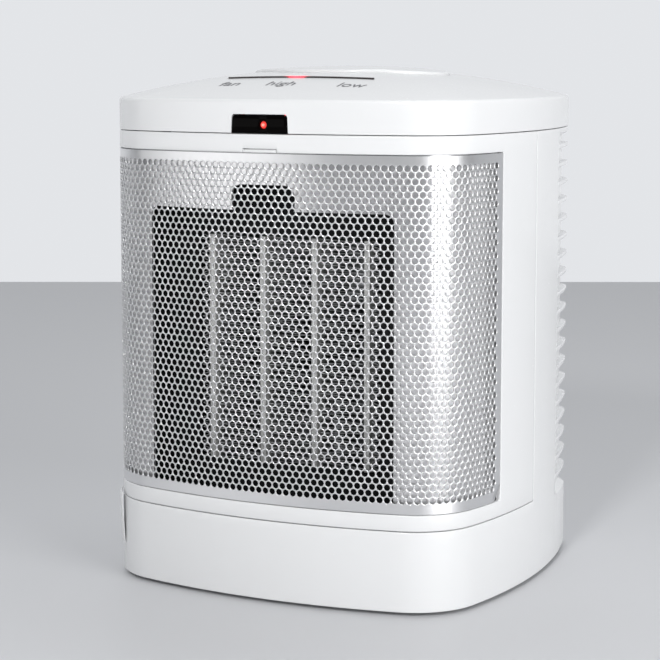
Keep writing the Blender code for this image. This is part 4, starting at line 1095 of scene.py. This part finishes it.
MOTOR_RADIUS, MOTOR_FRONT, MOTOR_BACK = 0.0180, 0.0840, 0.1180
SEAT, BUSH_LONG, SHAFT_BORE = 0.0043, 0.0042, 0.0021
VENTS, VENT_RADIUS, VENT_REACH = 6, 0.0019, 0.0123
motor = turned(
    "motor_can",
    [
        (SEAT, MOTOR_FRONT), (0.0075, MOTOR_FRONT), (0.0078, MOTOR_FRONT + 0.0008),
        (0.0168, MOTOR_FRONT + 0.0008), (0.0176, MOTOR_FRONT + 0.0012),
        (MOTOR_RADIUS, MOTOR_FRONT + 0.0022),
        (MOTOR_RADIUS, MOTOR_FRONT + 0.0150), (0.0176, MOTOR_FRONT + 0.0153),
        (0.0176, MOTOR_FRONT + 0.0163), (MOTOR_RADIUS, MOTOR_FRONT + 0.0166),
        (MOTOR_RADIUS, MOTOR_BACK - 0.0022), (0.0176, MOTOR_BACK - 0.0012),
        (0.0168, MOTOR_BACK - 0.0008),
        (0.0084, MOTOR_BACK - 0.0008), (0.0080, MOTOR_BACK), (SEAT, MOTOR_BACK),
        (SEAT, MOTOR_BACK - BUSH_LONG), (SHAFT_BORE, MOTOR_BACK - BUSH_LONG),
        (SHAFT_BORE, MOTOR_FRONT + BUSH_LONG), (SEAT, MOTOR_FRONT + BUSH_LONG),
    ],
    Vector((0, FRONT_Y, FAN_LEVEL)), "y", 96, fill=False,
)
for number in range(VENTS):
    turn = 2 * math.pi * (number + 0.5) / VENTS
    x, z = VENT_REACH * math.cos(turn), FAN_LEVEL + VENT_REACH * math.sin(turn)
    vent = rod(VENT_RADIUS, 0.006, (x, FRONT_Y + MOTOR_BACK, z), points=20)
    join_solid(motor, vent, "DIFFERENCE")
smooth(motor, 30)
dress(motor, zinc_steel, "zinc_steel", "casing", "motor_body")

# --- Base plate, feet and screws -----------------------------------------------------------------
# A white plate closes the underside. Four zinc-plated cross-head screws hold it, their heads sunk
# in flat-floored wells, and the heater stands on four rubber feet.
PLATE_SHEET, WELL_FLOOR, FOOT_RADIUS = 0.0025, 0.00165, 0.0070
SCREW_HEAD, SCREW_SHANK, SCREW_CROSS = 0.0030, 0.0014, (0.0034, 0.0006, 0.0014)
CORNERS = ("front_left", "front_right", "rear_left", "rear_right")
plate_edge = ((0, PLATE_SHEET), (0, 0.0005), (0.00015, 0.00015), (0.0005, 0))
plate = drawn_rings(
    "base_plate_moulding",
    [casing_ring(WALL + GAP + inset, UNDERSIDE + rise) for inset, rise in plate_edge],
    fill=True,
)
close_end(plate)
for name in CORNERS:
    low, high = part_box(f"base_screw_{name}")
    x, y = (low.x + high.x) / 2, (low.y + high.y) / 2
    well = turned(
        "screw_well",
        [
            (SCREW_HEAD + GAP, -0.002), (SCREW_HEAD + GAP, WELL_FLOOR),
            (SCREW_SHANK + GAP, WELL_FLOOR), (SCREW_SHANK + GAP, 0.006),
        ],
        Vector((x, y, UNDERSIDE)), "z", 40,
    )
    join_solid(plate, well, "DIFFERENCE")
    screw = turned(
        "base_screw_" + name + "_turned",
        [
            (0.0016, low.z), (0.0025, low.z + 0.00015), (SCREW_HEAD, low.z + 0.00055),
            (SCREW_HEAD, low.z + 0.00115), (SCREW_SHANK, low.z + 0.00115),
            (SCREW_SHANK, high.z - 0.0015), (0.0004, high.z),
        ],
        Vector((x, y, 0)), "z", 40,
    )
    for turn in (0, math.pi / 2):
        join_solid(screw, block((x, y, low.z), SCREW_CROSS, turn + 0.5), "DIFFERENCE")
    smooth(screw)
    dress(screw, zinc_steel, "zinc_steel", "casing", f"base_screw_{name}")
smooth(plate)
dress(plate, white_plastic, "white_plastic", "casing", "base_plate")

foot_rubber = finish_of(
    "foot_rubber", (0.030, 0.030, 0.031), (0.048, 0.048, 0.050), (0.75, 0.92), 1800, 0.00004
)
for name in CORNERS:
    low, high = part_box(f"foot_{name}")
    foot = turned(
        f"foot_{name}_pad",
        [
            (0.0018, 0.0004), (0.0034, 0.0004), (0.0038, 0), (0.0060, 0), (0.0067, 0.0002),
            (FOOT_RADIUS, 0.0006), (FOOT_RADIUS, high.z),
        ],
        Vector(((low.x + high.x) / 2, (low.y + high.y) / 2, 0)), "z", 56,
    )
    smooth(foot)
    dress(foot, foot_rubber, "foot_rubber", "casing", f"foot_{name}")

# --- Cord gland and tilt switch ------------------------------------------------------------------
# The black grommet that lines the mains lead's hole in the back of the base, snapped in behind its
# flange, and the sealed capsule on the base plate that cuts the power if the heater falls over.
gland = turned(
    "cord_gland_grommet",
    [
        (0.0037, -0.0060), (0.0090, -0.0060), (0.0090, -0.0029), (0.0072, -0.0029),
        (0.0072, 0.0004), (0.0090, 0.0004), (0.0090, 0.0016), (0.0087, 0.0023),
        (0.0080, 0.0030), (0.0072, 0.0036), (0.0062, 0.0040), (0.0046, 0.0040),
        (0.0040, 0.0037), (0.0037, 0.0030),
    ],
    Vector((0, FRONT_Y + DEPTH, GLAND_LEVEL)), "y", 72, fill=False,
)
smooth(gland)
dress(gland, black_plastic, "black_plastic", "casing", "cord_gland")
refinish(black_plastic, "tilt_switch")

# --- Base latch ----------------------------------------------------------------------------------
# A thin white blade moulded on the base's front left corner. It leans away from the casing towards
# its top, where it hooks back in.
LATCH_LOW, LATCH_HIGH, LATCH_SHEET = 0.0148, 0.0386, 0.0006
LATCH_TURNS = np.radians((-70, -44))
latch_ends = np.interp(LATCH_TURNS, ROUND_TURN, ROUND)
latch = upright_sheet("base_latch_blade", *latch_ends, LATCH_LOW, LATCH_HIGH, 28, 12)
spots = points_of(latch)
climb = (spots[:, 2] - LATCH_LOW) / (LATCH_HIGH - LATCH_LOW)
spots[:, 1] = np.interp(climb, (0, 0.9, 0.97, 1), (-0.0009, -0.0021, -0.0019, -0.0014))
move_points(latch, spots)
wrap(latch)
thicken(latch, LATCH_SHEET)
soften(latch, 0.0002, 2, 60)
smooth(latch)
dress(latch, white_plastic, "white_plastic", "casing", "base_latch")

low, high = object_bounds()
